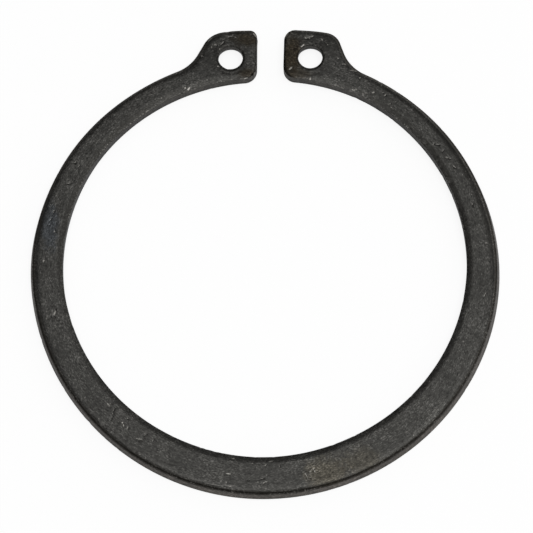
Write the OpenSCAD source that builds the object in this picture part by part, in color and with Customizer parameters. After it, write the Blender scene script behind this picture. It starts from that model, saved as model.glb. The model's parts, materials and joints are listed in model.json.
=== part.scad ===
// External retaining ring for a shaft: one flat open ring of spring steel, stamped from strip.
// It lies on its back face. The shaft axis is Z, the gap is centred on +Y and a lug stands on each side of it.
// The front face has the rounded edges that stamping leaves, and the back face has sharp ones.

/* [Ring] */
// Inside diameter of the relaxed ring, which closes on the shaft's groove
bore_d = 55.8; // [45:0.1:67]
// Thickness of the strip
thickness = 2; // [1.6:0.05:2.5]
// Radial width of the ring opposite the gap
width_back = 5.34; // [4.2:0.02:6.4]
// Radial width that the ring tapers to beneath the lugs
width_front = 3.18; // [2.5:0.02:3.9]
// Amount that the sheared outside spreads by from the rounding down to the back face
wall_spread = 0.12; // [0.05:0.01:0.2]

/* [Lugs] */
// Gap between the two lugs, with the ring relaxed
gap = 3.76; // [2.8:0.02:4.8]
// Height of a lug's crown above the bore
lug_height = 6.9; // [5.7:0.05:8.3]
// Lean of a lug's flank from the gap's centre line, in degrees
flank_lean = 26; // [20:0.5:32]
// Distance from the plier hole's axis to the flank
flank_wall = 4.43; // [3.6:0.01:5.3]
// Radius of the hollow neck that runs from the flank into the ring
neck_r = 6; // [4.9:0.1:7.5]
// Radius of the shoulder between crown and flank
shoulder_r = 1.8; // [1.4:0.05:2.2]
// Radius of the corner between crown and gap
crown_corner_r = 1.1; // [0.8:0.05:1.4]
// Radius of the corner between gap and bore
bore_corner_r = 1.2; // [0.9:0.05:1.5]

/* [Plier holes] */
// Diameter of a plier hole where it is narrowest
hole_d = 3.36; // [2.7:0.02:4.2]
// Height of the plier hole's axis above the bore
hole_rise = 3; // [2.4:0.05:3.6]
// Distance from the gap's face to the plier hole's axis
hole_inset = 3.69; // [3:0.01:4.4]
// Amount that the torn lower part of the hole widens to at the back face
tear_flare = 0.2; // [0.1:0.01:0.3]
// Height of the torn part above the back face
tear_height = 0.9; // [0.6:0.05:1.1]

/* [Rounded front edges] */
// Width of the rounding along the outside
rim_roll_w = 1.1; // [0.8:0.05:1.4]
// Depth of the rounding along the outside
rim_roll_h = 0.5; // [0.3:0.02:0.6]
// Width of the rounding along the bore
bore_roll_w = 0.7; // [0.5:0.05:0.9]
// Depth of the rounding along the bore
bore_roll_h = 0.3; // [0.2:0.02:0.4]
// Width of the rounding along the gap
gap_roll_w = 0.3; // [0.2:0.02:0.4]
// Depth of the rounding along the gap
gap_roll_h = 0.16; // [0.1:0.02:0.2]
// Width of the rounding at a plier hole
hole_roll_w = 0.36; // [0.2:0.02:0.5]
// Depth of the rounding at a plier hole
hole_roll_h = 0.3; // [0.2:0.02:0.4]

/* [Hidden] */
$fn = 180;
// Share of the width, from the wall inwards, and of the depth at each point of a rounding:
// a tight turn beside the wall, then a long shallow slope up to the face
ROLL_CURVE = [[0, 1], [0.07, 0.72], [0.2, 0.42], [1, 0]];
// Reach of a cut beyond the strip's faces
clear = 1;
// Depth by which an arc bites past the faces that it joins, so that they cross instead of just touching
bite = 0.03;
// Reach of each of the gap's cuts across the gap, which is past its middle and short of the other face
gap_reach = 0.75 * gap;
bore_r = bore_d / 2;
// The outside is a circle about a centre below the shaft axis, which tapers the ring towards the gap
rim_r = bore_r + (width_back + width_front) / 2;
rim_shift = (width_back - width_front) / 2;
crown_r = bore_r + lug_height;
// The plier hole on the +X side
hole_x = gap / 2 + hole_inset;
hole_y = sqrt(pow(bore_r + hole_rise, 2) - pow(hole_x, 2));
// The flank's outward direction, its direction away from the crown, and its distance from the shaft axis
flank_out = [cos(flank_lean), sin(flank_lean)];
flank_down = [sin(flank_lean), -cos(flank_lean)];
flank_at = flank_out * [hole_x, hole_y] + flank_wall;
// Centre of the shoulder's arc, inside the crown's circle and inside the flank
shoulder_out = flank_at - shoulder_r + bite;
shoulder_up = sqrt(pow(crown_r - shoulder_r + bite, 2) - pow(shoulder_out, 2));
shoulder_c = flank_out * shoulder_out - flank_down * shoulder_up;
// Centre of the neck's arc, outside the rim's circle and outside the flank
rim_c = [0, -rim_shift];
neck_out = flank_at + neck_r - bite;
neck_up = sqrt(pow(rim_r + neck_r - bite, 2) - pow(neck_out - flank_out * rim_c, 2)) - flank_down * rim_c;
neck_c = flank_out * neck_out - flank_down * neck_up;
neck_dir = atan2(neck_c.y - rim_c.y, neck_c.x - rim_c.x);
// Centres of the two corner arcs at the gap
crown_corner_x = gap / 2 + crown_corner_r - bite;
crown_corner_c = [crown_corner_x, sqrt(pow(crown_r - crown_corner_r + bite, 2) - pow(crown_corner_x, 2))];
bore_corner_x = gap / 2 + bore_corner_r - bite;
bore_corner_c = [bore_corner_x, sqrt(pow(bore_r + bore_corner_r - bite, 2) - pow(bore_corner_x, 2))];

// Direction of a point from the shaft axis, in degrees
function direction(p) = atan2(p.y, p.x);

// Points of a rounding of width w and depth h, with its wall at x and the metal on the side that side gives
function rolled_edge(x, side, w, h) = [for (p = ROLL_CURVE) [x + side * p[0] * w, thickness - p[1] * h]];

// Spread of an outside wall, below a rounding of depth h, at the end of a cut beneath the back face
function spread_below(h) = wall_spread * (1 + clear / (thickness - h));

// Section of a cut that leaves metal at x < r, with the cut reaching out by span
module outside_section(r, w, h, span) {
    polygon(concat(
        [[r + spread_below(h), -clear]],
        rolled_edge(r, -1, w, h),
        [[r - w, thickness + clear], [r + span, thickness + clear], [r + span, -clear]]
    ));
}

// Section of a cut that leaves metal at x > r, with the cut reaching in by span and its wall
// coming in by spread at the cut's lower end
module inside_section(r, w, h, span, spread) {
    polygon(concat(
        [[r - spread, -clear]],
        rolled_edge(r, 1, w, h),
        [[r + w, thickness + clear], [r - span, thickness + clear], [r - span, -clear]]
    ));
}

// Cut that rounds an outward corner to an arc of radius r about c, between two directions
module corner_cut(c, r, from, to, w, h) {
    translate(c) rotate(from) rotate_extrude(angle = to - from) outside_section(r, w, h, r);
}

// Disc of strip with the crown's rounded edge, from which everything else is cut
module disc() {
    rotate_extrude()
        polygon(concat(
            [[0, 0], [crown_r + wall_spread, 0]],
            rolled_edge(crown_r, -1, rim_roll_w, rim_roll_h),
            [[0, thickness]]
        ));
}

// Bore that closes on the shaft
module bore_cut() {
    rotate_extrude() inside_section(bore_r, bore_roll_w, bore_roll_h, bore_r, 0);
}

// Outside of the ring, from one neck round to the other
module rim_cut() {
    translate(rim_c) rotate(180 - neck_dir) rotate_extrude(angle = 180 + 2 * neck_dir)
        outside_section(rim_r, rim_roll_w, rim_roll_h, lug_height);
}

// Hollow neck, a whole turn: its far side lies in air
module neck_cut() {
    translate(neck_c) rotate_extrude()
        inside_section(neck_r, rim_roll_w, rim_roll_h, neck_r, spread_below(rim_roll_h));
}

// Flank of the lug, from above the crown down to where the neck begins
module flank_cut() {
    foot = neck_c - flank_out * (neck_r - bite);
    translate(foot - flank_down * lug_height) rotate(flank_lean) rotate([90, 0, 0])
        linear_extrude(lug_height) outside_section(0, rim_roll_w, rim_roll_h, lug_height);
}

// Shoulder between the flank and the crown
module shoulder_cut() {
    corner_cut(shoulder_c, shoulder_r, flank_lean, direction(shoulder_c), rim_roll_w, rim_roll_h);
}

// One face of the gap between the lugs
module gap_cut() {
    translate([0, crown_r + clear, 0]) rotate([90, 0, 0])
        linear_extrude(crown_r + clear) inside_section(gap / 2, gap_roll_w, gap_roll_h, gap_reach, 0);
}

// Corner between the crown and the gap
module crown_corner_cut() {
    corner_cut(crown_corner_c, crown_corner_r, direction(crown_corner_c), 180, gap_roll_w, gap_roll_h);
}

// Corner between the gap and the bore
module bore_corner_cut() {
    corner_cut(bore_corner_c, bore_corner_r, 180, 180 + direction(bore_corner_c), gap_roll_w, gap_roll_h);
}

// Plier hole: rounded at the front, smooth below that, and torn wider towards the back
module hole_cut() {
    r = hole_d / 2;
    torn_r = r + tear_flare * (1 + clear / tear_height);
    translate([hole_x, hole_y]) rotate_extrude() polygon(concat(
        [[0, -clear], [torn_r, -clear], [r, tear_height]],
        rolled_edge(r, 1, hole_roll_w, hole_roll_h),
        [[r + hole_roll_w, thickness + clear], [0, thickness + clear]]
    ));
}

// Cuts the second child out of the first on the +X side, and then its mirror image on the -X side
module cut_each_side() {
    difference() {
        difference() {
            children(0);
            children(1);
        }
        mirror([1, 0, 0]) children(1);
    }
}

// Closed ring that tapers to its lugs' full height at the top
module closed_ring() {
    difference() {
        disc();
        bore_cut();
        rim_cut();
    }
}

// Shapes the outside of both lugs
module with_flanks() {
    cut_each_side() {
        cut_each_side() {
            cut_each_side() {
                children();
                neck_cut();
            }
            flank_cut();
        }
        shoulder_cut();
    }
}

// Opens the gap and rounds its four corners
module with_gap() {
    cut_each_side() {
        cut_each_side() {
            cut_each_side() {
                children();
                gap_cut();
            }
            crown_corner_cut();
        }
        bore_corner_cut();
    }
}

// Pierces both plier holes
module with_plier_holes() {
    cut_each_side() {
        children();
        hole_cut();
    }
}

// The whole ring, in oiled black spring steel
module retaining_ring() {
    color("#3c3c3a") with_plier_holes() with_gap() with_flanks() closed_ring();
}

retaining_ring();
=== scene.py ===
"""Looks of an external retaining ring: one stamped piece of black spring steel, lying on its back face.

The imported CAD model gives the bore, the plier holes, the thickness and the reach of the ring. This script
draws the ring's plan with the small departures that the real one shows, presses it into a closed body with
Geometry Nodes, gives it an oxide finish and sets a plain studio around it. Plans are in millimetres.
"""

import json
import logging
import math
from dataclasses import dataclass, field
from enum import Enum
from typing import Any, Iterable, Optional

import bpy
import numpy as np
from mathutils import Matrix, Vector, geometry, kdtree

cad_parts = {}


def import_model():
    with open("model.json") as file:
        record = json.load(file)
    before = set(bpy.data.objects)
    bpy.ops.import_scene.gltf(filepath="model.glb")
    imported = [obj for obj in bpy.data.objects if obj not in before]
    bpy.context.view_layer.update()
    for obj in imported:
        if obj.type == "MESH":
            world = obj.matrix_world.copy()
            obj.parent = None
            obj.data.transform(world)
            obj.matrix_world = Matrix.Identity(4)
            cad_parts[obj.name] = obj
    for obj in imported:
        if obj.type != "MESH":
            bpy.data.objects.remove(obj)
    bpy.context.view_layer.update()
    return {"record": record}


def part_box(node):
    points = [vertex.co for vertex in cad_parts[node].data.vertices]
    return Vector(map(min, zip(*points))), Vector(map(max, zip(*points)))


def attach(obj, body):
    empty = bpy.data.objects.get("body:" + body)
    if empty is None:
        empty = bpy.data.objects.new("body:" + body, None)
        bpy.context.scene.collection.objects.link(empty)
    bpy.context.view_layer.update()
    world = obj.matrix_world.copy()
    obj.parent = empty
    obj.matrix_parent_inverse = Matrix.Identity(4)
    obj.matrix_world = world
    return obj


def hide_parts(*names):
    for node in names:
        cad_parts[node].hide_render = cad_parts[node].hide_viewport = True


MM = 0.001
NODE = "retaining_ring"
BODY = "root"

Colour = tuple[float, float, float]
# The values at which a ramp begins and ends
Span = tuple[float, float]

log = logging.getLogger("retaining_ring")


class Side(Enum):
    """Which half of the ring a lug stands on."""

    RIGHT = 1
    LEFT = -1


class Stretch(Enum):
    """Stretches of the outline, in the order in which they follow each other from the back of the ring."""

    RIM = "rim"
    NECK = "neck"
    FLANK = "flank"
    SHOULDER = "shoulder"
    CROWN = "crown"
    CROWN_CORNER = "crown corner"
    GAP = "gap"
    BORE_CORNER = "bore corner"
    BORE = "bore"


@dataclass(frozen=True)
class Roll:
    """Rounding that the punch leaves along a front edge.

    Args:
        width: Reach of the rounding from the wall onto the face, in mm.
        depth: Drop of the rounding at the wall, in mm.
    """

    width: float
    depth: float


ROLLS = {
    Stretch.RIM: Roll(1.05, 0.6),
    Stretch.NECK: Roll(1.35, 0.6),
    Stretch.FLANK: Roll(1.25, 0.55),
    Stretch.SHOULDER: Roll(1.2, 0.5),
    Stretch.CROWN: Roll(0.9, 0.42),
    Stretch.CROWN_CORNER: Roll(0.45, 0.24),
    Stretch.GAP: Roll(0.3, 0.13),
    Stretch.BORE_CORNER: Roll(0.45, 0.18),
    Stretch.BORE: Roll(0.95, 0.15),
}
HOLE_ROLL = Roll(0.36, 0.12)

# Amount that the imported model's outside wall spreads by from the rounding down to the back face, in mm
WALL_SPREAD = 0.12
# The same amount on the real ring's stretches, where it is another
SPREADS = {
    Stretch.RIM: 0.2,
    Stretch.NECK: 0.2,
    Stretch.FLANK: 0.18,
    Stretch.GAP: 0.03,
    Stretch.BORE_CORNER: 0.02,
    Stretch.BORE: 0.0,
}
# Spreads that tell the ring's outside from its inside, in mm: an edge with the first or more lies outside,
# and an edge with the second or less lies inside
OUTSIDE_SPREAD, INSIDE_SPREAD = 0.11, 0.05


@dataclass(frozen=True)
class Frame:
    """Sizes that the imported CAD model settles, in mm.

    Args:
        bore_r: Radius of the bore.
        rim_r: Radius of the outside circle, above the wall's spread.
        rim_y: Place of that circle's centre on the Y axis.
        thickness: Thickness of the strip.
        hole_r: Radius of a plier hole.
        hole_x: Distance of a plier hole from the Y axis.
        hole_y: Height of a plier hole above the X axis.
    """

    bore_r: float
    rim_r: float
    rim_y: float
    thickness: float
    hole_r: float
    hole_x: float
    hole_y: float

    @staticmethod
    def read(record: dict[str, Any]) -> "Frame":
        """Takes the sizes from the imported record's mounts and the node's box.

        Args:
            record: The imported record.

        Returns:
            The sizes.
        """
        mounts = {mount["name"]: mount for mount in record["mounts"]}
        hole = mounts["plier_hole_right"]
        low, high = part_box(NODE)
        rim_r = (high.x - low.x) / 2 / MM - WALL_SPREAD
        return Frame(
            bore_r=mounts["shaft_seat"]["dims"]["r_mm"],
            rim_r=rim_r,
            rim_y=low.y / MM + WALL_SPREAD + rim_r,
            thickness=high.z / MM,
            hole_r=hole["dims"]["r_mm"],
            hole_x=hole["pos_m"][0] / MM,
            hole_y=hole["pos_m"][1] / MM,
        )


@dataclass(frozen=True)
class LugForm:
    """Plan of one lug and its neck, drawn as if it stood on the +X side, in mm and degrees.

    Args:
        side: The half of the ring that the lug stands on.
        gap_half: Distance of the gap's face from the Y axis, at the bore.
        gap_lean: Amount by which that face leans away from the axis on its way up to the crown.
        crown_r: Radius of the crown's arc.
        crown_at: Highest point of the crown's arc.
        flank_lean: Lean of the flank from the Y axis.
        flank_wall: Distance from the plier hole's axis to the flank.
        shoulder_r: Radius of the shoulder between crown and flank.
        neck_r: Radius of the hollow neck.
        crown_corner_r: Radius of the corner between crown and gap.
        bore_corner_r: Radius of the corner between gap and bore.
        rim_draw: Amount by which the rim lies inside its circle at the neck.
        bore_draw: Amount by which the bore closes in beneath the lug.
        bore_draw_from: Direction from the shaft axis at which the bore begins to close in.
        hole_lift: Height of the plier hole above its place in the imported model.
    """

    side: Side
    gap_half: float
    gap_lean: float
    crown_r: float
    crown_at: tuple[float, float]
    flank_lean: float
    flank_wall: float
    shoulder_r: float
    neck_r: float
    crown_corner_r: float
    bore_corner_r: float
    rim_draw: float
    bore_draw: float
    bore_draw_from: float
    hole_lift: float


LUGS = (
    LugForm(
        side=Side.RIGHT,
        gap_half=1.85,
        gap_lean=0.0,
        crown_r=26.0,
        crown_at=(3.8, 34.56),
        flank_lean=21.5,
        flank_wall=4.69,
        shoulder_r=2.3,
        neck_r=5.8,
        crown_corner_r=1.6,
        bore_corner_r=1.8,
        rim_draw=0.05,
        bore_draw=0.36,
        bore_draw_from=60.0,
        hole_lift=0.12,
    ),
    LugForm(
        side=Side.LEFT,
        gap_half=1.87,
        gap_lean=0.1,
        crown_r=17.5,
        crown_at=(3.6, 34.38),
        flank_lean=28.0,
        flank_wall=4.23,
        shoulder_r=3.4,
        neck_r=5.8,
        crown_corner_r=1.05,
        bore_corner_r=1.85,
        rim_draw=0.22,
        bore_draw=0.6,
        bore_draw_from=30.0,
        hole_lift=-0.22,
    ),
)


@dataclass(frozen=True)
class Drift:
    """A stretch of the rim or the bore where one of its sizes grows or shrinks.

    Args:
        towards: Direction of the stretch's middle from the shaft axis, in degrees.
        reach: Half of the stretch's length, in degrees.
        amount: Growth in the middle of the stretch, in mm.
    """

    towards: float
    reach: float
    amount: float


# How the radius, the wall's spread and the rounding's width of the rim leave their plain values
RIM_DRIFTS = (
    Drift(214.0, 56.0, -0.33),
    Drift(176.0, 20.0, 0.1),
    Drift(292.0, 46.0, 0.03),
    Drift(0.0, 30.0, 0.06),
)
SPREAD_DRIFTS = (Drift(345.0, 60.0, 0.12), Drift(190.0, 45.0, 0.06))
ROLL_DRIFTS = (Drift(190.0, 42.0, 0.36), Drift(24.0, 45.0, 0.4))
# How the bore's radius leaves its plain value
BORE_DRIFTS = (
    Drift(205.0, 48.0, -0.12),
    Drift(165.0, 26.0, -0.06),
    Drift(270.0, 30.0, 0.12),
    Drift(10.0, 40.0, -0.05),
)


@dataclass(frozen=True)
class Mark:
    """A scratch, nick or rubbed spot on the front face, in mm and degrees.

    Args:
        at: Middle of the mark.
        length: Length of the mark.
        turn: Direction of the mark from the X axis.
        width: Half of the mark's width.
        bare: How far the oxide is rubbed off, from 0 to 1; below 0 the mark is a dark pit.
        depth: Depth of the mark.
        bow: Sideways rise of the mark's middle.
    """

    at: tuple[float, float]
    length: float
    turn: float
    width: float = 0.08
    bare: float = 0.6
    depth: float = 0.02
    bow: float = 0.0


MARKS = (
    # Left lug
    Mark((-2.27, 33.61), 0.5, -50, 0.1, 0.9),
    Mark((-2.15, 27.85), 0.22, 60, 0.13, 1.0),
    Mark((-2.4, 27.73), 0.2, 30, 0.11, -0.9, 0.05),
    Mark((-3.57, 27.08), 0.8, 22, 0.1, 0.55),
    Mark((-4.67, 26.78), 0.3, 10, 0.1, 0.5),
    Mark((-6.24, 33.09), 1.3, 24, 0.09, 0.55, 0.02, 0.08),
    Mark((-5.45, 33.43), 0.55, 60, 0.08, 0.6),
    Mark((-5.1, 33.33), 0.5, -35, 0.08, 0.6),
    Mark((-6.89, 32.85), 0.25, 0, 0.1, 0.7),
    Mark((-7.86, 31.92), 0.5, 15, 0.08, 0.7, 0.02, 0.1),
    Mark((-8.14, 31.56), 0.8, 105, 0.06, 0.55, 0.02, 0.1),
    Mark((-7.19, 31.72), 0.9, 100, 0.1, 0.35),
    Mark((-6.79, 32.29), 0.6, 45, 0.08, 0.6),
    Mark((-9.55, 30.32), 0.28, 120, 0.14, 0.95, 0.03),
    Mark((-9.63, 29.46), 0.6, -20, 0.1, 0.4),
    Mark((-11.26, 25.4), 0.45, 50, 0.16, 0.75),
    Mark((-11.86, 25.57), 0.4, -20, 0.12, 0.55),
    Mark((-8.82, 26.74), 0.3, 30, 0.12, 0.5),
    Mark((-9.44, 25.71), 0.35, 20, 0.13, 0.5),
    Mark((-7.23, 28.77), 0.3, -40, 0.12, 0.6),
    Mark((-8.48, 32.91), 0.6, 42, 0.14, 0.9, 0.04),
    Mark((-11.02, 28.05), 0.5, 10, 0.07, 0.45),
    Mark((-5.5, 28.03), 2.4, 4, 0.17, -0.5, 0.02, -0.32),
    # Right lug
    Mark((5.45, 28.12), 2.7, -2, 0.17, -0.5, 0.02, -0.36),
    Mark((2.15, 33.63), 0.5, 48, 0.14, 1.0),
    Mark((5.2, 33.42), 0.9, 20, 0.08, 0.5, 0.02, -0.1),
    Mark((5.75, 33.58), 0.45, -40, 0.09, 0.8),
    Mark((5.47, 33.32), 0.35, 60, 0.08, 0.6),
    Mark((7.18, 33.08), 0.3, -60, 0.1, 0.7),
    Mark((7.79, 32.51), 0.5, -48, 0.05, 0.45),
    Mark((4.46, 32.12), 0.45, 42, 0.08, 0.8),
    Mark((3.14, 31.61), 0.3, 80, 0.1, 0.3),
    Mark((2.83, 28.63), 0.3, 50, 0.13, 0.85),
    Mark((2.24, 27.81), 0.4, -62, 0.1, 0.9),
    Mark((3.78, 27.17), 0.32, 10, 0.12, 0.85),
    Mark((4.43, 27.12), 0.3, 20, 0.1, 0.4),
    Mark((5.66, 27.24), 0.22, 45, 0.12, 0.75),
    Mark((9.5, 30.54), 0.25, 60, 0.11, 0.8),
    Mark((10.47, 29.47), 0.6, -12, 0.12, 0.6),
    Mark((11.48, 28.5), 1.25, 0, 0.09, 0.95, 0.03),
    Mark((11.63, 28.29), 1.0, 0, 0.07, -0.7, 0.04),
    Mark((12.6, 27.46), 0.35, 25, 0.11, 0.8),
    Mark((11.79, 25.77), 0.8, 5, 0.14, 0.5, 0.02, -0.12),
    Mark((13.32, 25.01), 0.7, 25, 0.1, 0.55, 0.02, 0.15),
    Mark((8.97, 29.24), 0.4, 80, 0.1, 0.35),
    Mark((14.49, 25.26), 0.3, 40, 0.12, 0.6),
    # Left arm
    Mark((-29.93, 7.72), 0.4, 50, 0.1, 0.7),
    Mark((-29.33, 6.92), 0.35, 70, 0.08, 0.6),
    Mark((-29.73, 5.72), 0.5, 60, 0.06, 0.45),
    Mark((-30.12, 4.82), 0.5, 10, 0.07, 0.4),
    Mark((-29.12, 3.97), 0.3, 80, 0.1, 0.45),
    Mark((-30.42, -0.43), 0.3, 80, 0.11, 0.75),
    Mark((-29.62, -7.53), 0.4, 60, 0.12, 0.5),
    Mark((-28.57, -7.97), 0.55, 75, 0.1, 0.75),
    Mark((-29.66, -8.58), 0.3, 70, 0.11, 0.6),
    Mark((-26.83, 14.08), 0.6, 20, 0.06, 0.5),
    Mark((-26.20, 13.51), 0.5, 60, 0.07, 0.5),
    Mark((-26.25, 12.93), 0.4, 80, 0.07, 0.5),
    Mark((-27.41, 11.04), 0.5, 10, 0.06, 0.45),
    # Lower part of the left arm
    Mark((-20.62, -21.06), 0.6, -50, 0.12, 0.51),
    Mark((-20.04, -22.05), 0.9, 80, 0.09, 0.39),
    Mark((-20.15, -22.77), 0.6, 65, 0.09, 0.36),
    Mark((-18.61, -23.74), 0.55, -65, 0.12, 0.57),
    Mark((-17.94, -24.22), 0.4, 75, 0.1, 0.42),
    Mark((-17.85, -22.84), 0.3, 20, 0.11, 0.42),
    Mark((-15.56, -25.18), 0.45, 25, 0.1, 0.45),
    Mark((-16.28, -25.83), 0.8, -10, 0.12, 0.48),
    Mark((-18.74, -25.67), 0.9, -15, 0.07, 0.36),
    Mark((-16.13, -28.04), 0.5, -20, 0.1, 0.39),
    Mark((-14.44, -25.94), 0.3, 60, 0.09, 0.3),
    Mark((-19.39, -21.18), 0.5, 35, 0.09, 0.24),
    # Right arm
    Mark((16.21, 25.02), 0.45, 60, 0.08, 0.6),
    Mark((15.90, 25.28), 0.35, 20, 0.07, 0.5),
    Mark((17.04, 23.13), 0.4, -30, 0.08, 0.6),
    Mark((16.65, 23.54), 0.6, 30, 0.06, 0.5),
    Mark((17.81, 23.99), 0.5, 25, 0.06, 0.5),
    Mark((23.00, 17.81), 0.4, 50, 0.07, 0.55),
    Mark((23.69, 17.72), 0.35, 10, 0.07, 0.5),
    Mark((25.11, 15.73), 0.6, -10, 0.07, 0.55),
    Mark((25.92, 14.49), 0.4, -40, 0.08, 0.6),
    Mark((26.52, 14.40), 0.4, 80, 0.08, 0.65),
    Mark((20.98, 19.79), 0.6, 0, 0.06, 0.4),
    Mark((24.32, 16.82), 0.4, 60, 0.06, 0.45),
    Mark((28.39, 10.41), 0.3, 10, 0.09, 0.7),
    Mark((27.90, 11.38), 0.25, 0, 0.08, 0.5),
    Mark((28.48, 8.95), 0.4, 80, 0.07, 0.45),
    Mark((27.11, 13.34), 0.5, -60, 0.07, 0.5),
    Mark((30.40, 3.36), 0.3, 0, 0.08, 0.55),
    Mark((30.42, -4.15), 0.5, 65, 0.08, 0.5),
    # Back of the ring
    Mark((-4.02, -30.5), 0.5, -5, 0.12, 0.75),
    Mark((-4.31, -31.87), 0.35, 80, 0.1, 0.5),
    Mark((-3.71, -32.27), 0.4, 10, 0.12, 0.6),
    Mark((-3.48, -28.37), 0.25, 0, 0.1, 0.7),
    Mark((-0.9, -29.02), 0.3, 10, 0.09, 0.6),
    Mark((0.09, -28.95), 0.25, 10, 0.09, 0.55),
    Mark((1.08, -29.1), 0.5, 50, 0.06, 0.6),
    Mark((1.62, -28.64), 0.45, 5, 0.08, 0.7),
    Mark((2.81, -29.09), 0.6, 100, 0.06, 0.55),
    Mark((6.63, -30.82), 1.15, -67, 0.055, 0.7, 0.02, 0.06),
    Mark((7.34, -30.97), 0.5, -40, 0.05, 0.5),
    Mark((7.58, -29.82), 0.6, -60, 0.06, 0.6),
    Mark((0.99, -31.7), 0.6, 30, 0.1, 0.5, 0.02, 0.1),
    Mark((0.24, -32.2), 0.4, 70, 0.1, 0.5),
    Mark((0.54, -31.1), 0.7, 20, 0.05, 0.45),
    Mark((-1.26, -31.31), 0.4, 10, 0.1, 0.35),
)


def arc(centre: Iterable[float], radius: float, start: float, end: float, step: float) -> np.ndarray:
    """Points along an arc, with both ends.

    Args:
        centre: Centre of the arc.
        radius: Radius of the arc.
        start: Direction of the first point from the centre, in degrees.
        end: Direction of the last point from the centre, in degrees.
        step: Largest distance between two points.

    Returns:
        The points, one to a row.
    """
    count = max(3, math.ceil(abs(math.radians(end - start)) * radius / step) + 1)
    turn = np.radians(np.linspace(start, end, count))
    return np.asarray(centre, float) + radius * np.stack([np.cos(turn), np.sin(turn)], 1)


def line(start: Iterable[float], end: Iterable[float], step: float) -> np.ndarray:
    """Points along a straight stretch, with both ends.

    Args:
        start: First point.
        end: Last point.
        step: Largest distance between two points.

    Returns:
        The points, one to a row.
    """
    start, end = np.asarray(start, float), np.asarray(end, float)
    count = max(2, math.ceil(np.linalg.norm(end - start) / step) + 1)
    return start + np.linspace(0, 1, count)[:, None] * (end - start)


def direction(vector: Iterable[float]) -> float:
    """Direction of a plan vector from the X axis, in degrees."""
    x, y = vector
    return math.degrees(math.atan2(y, x))


def smooth(value: np.ndarray) -> np.ndarray:
    """Eases a share from 0 to 1, with flat ends."""
    share = np.clip(value, 0, 1)
    return share * share * (3 - 2 * share)


@dataclass
class Loop:
    """A closed edge of the plan, with the metal on its left.

    Args:
        points: Points of the edge, one to a row.
        outward: Direction away from the metal at each point.
        roll_width: Width of the rounding at each point.
        roll_depth: Depth of the rounding at each point.
        tear: Amount by which the wall draws back towards the back face at each point; below 0 it spreads.
    """

    points: np.ndarray
    outward: np.ndarray
    roll_width: np.ndarray
    roll_depth: np.ndarray
    tear: np.ndarray


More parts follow.
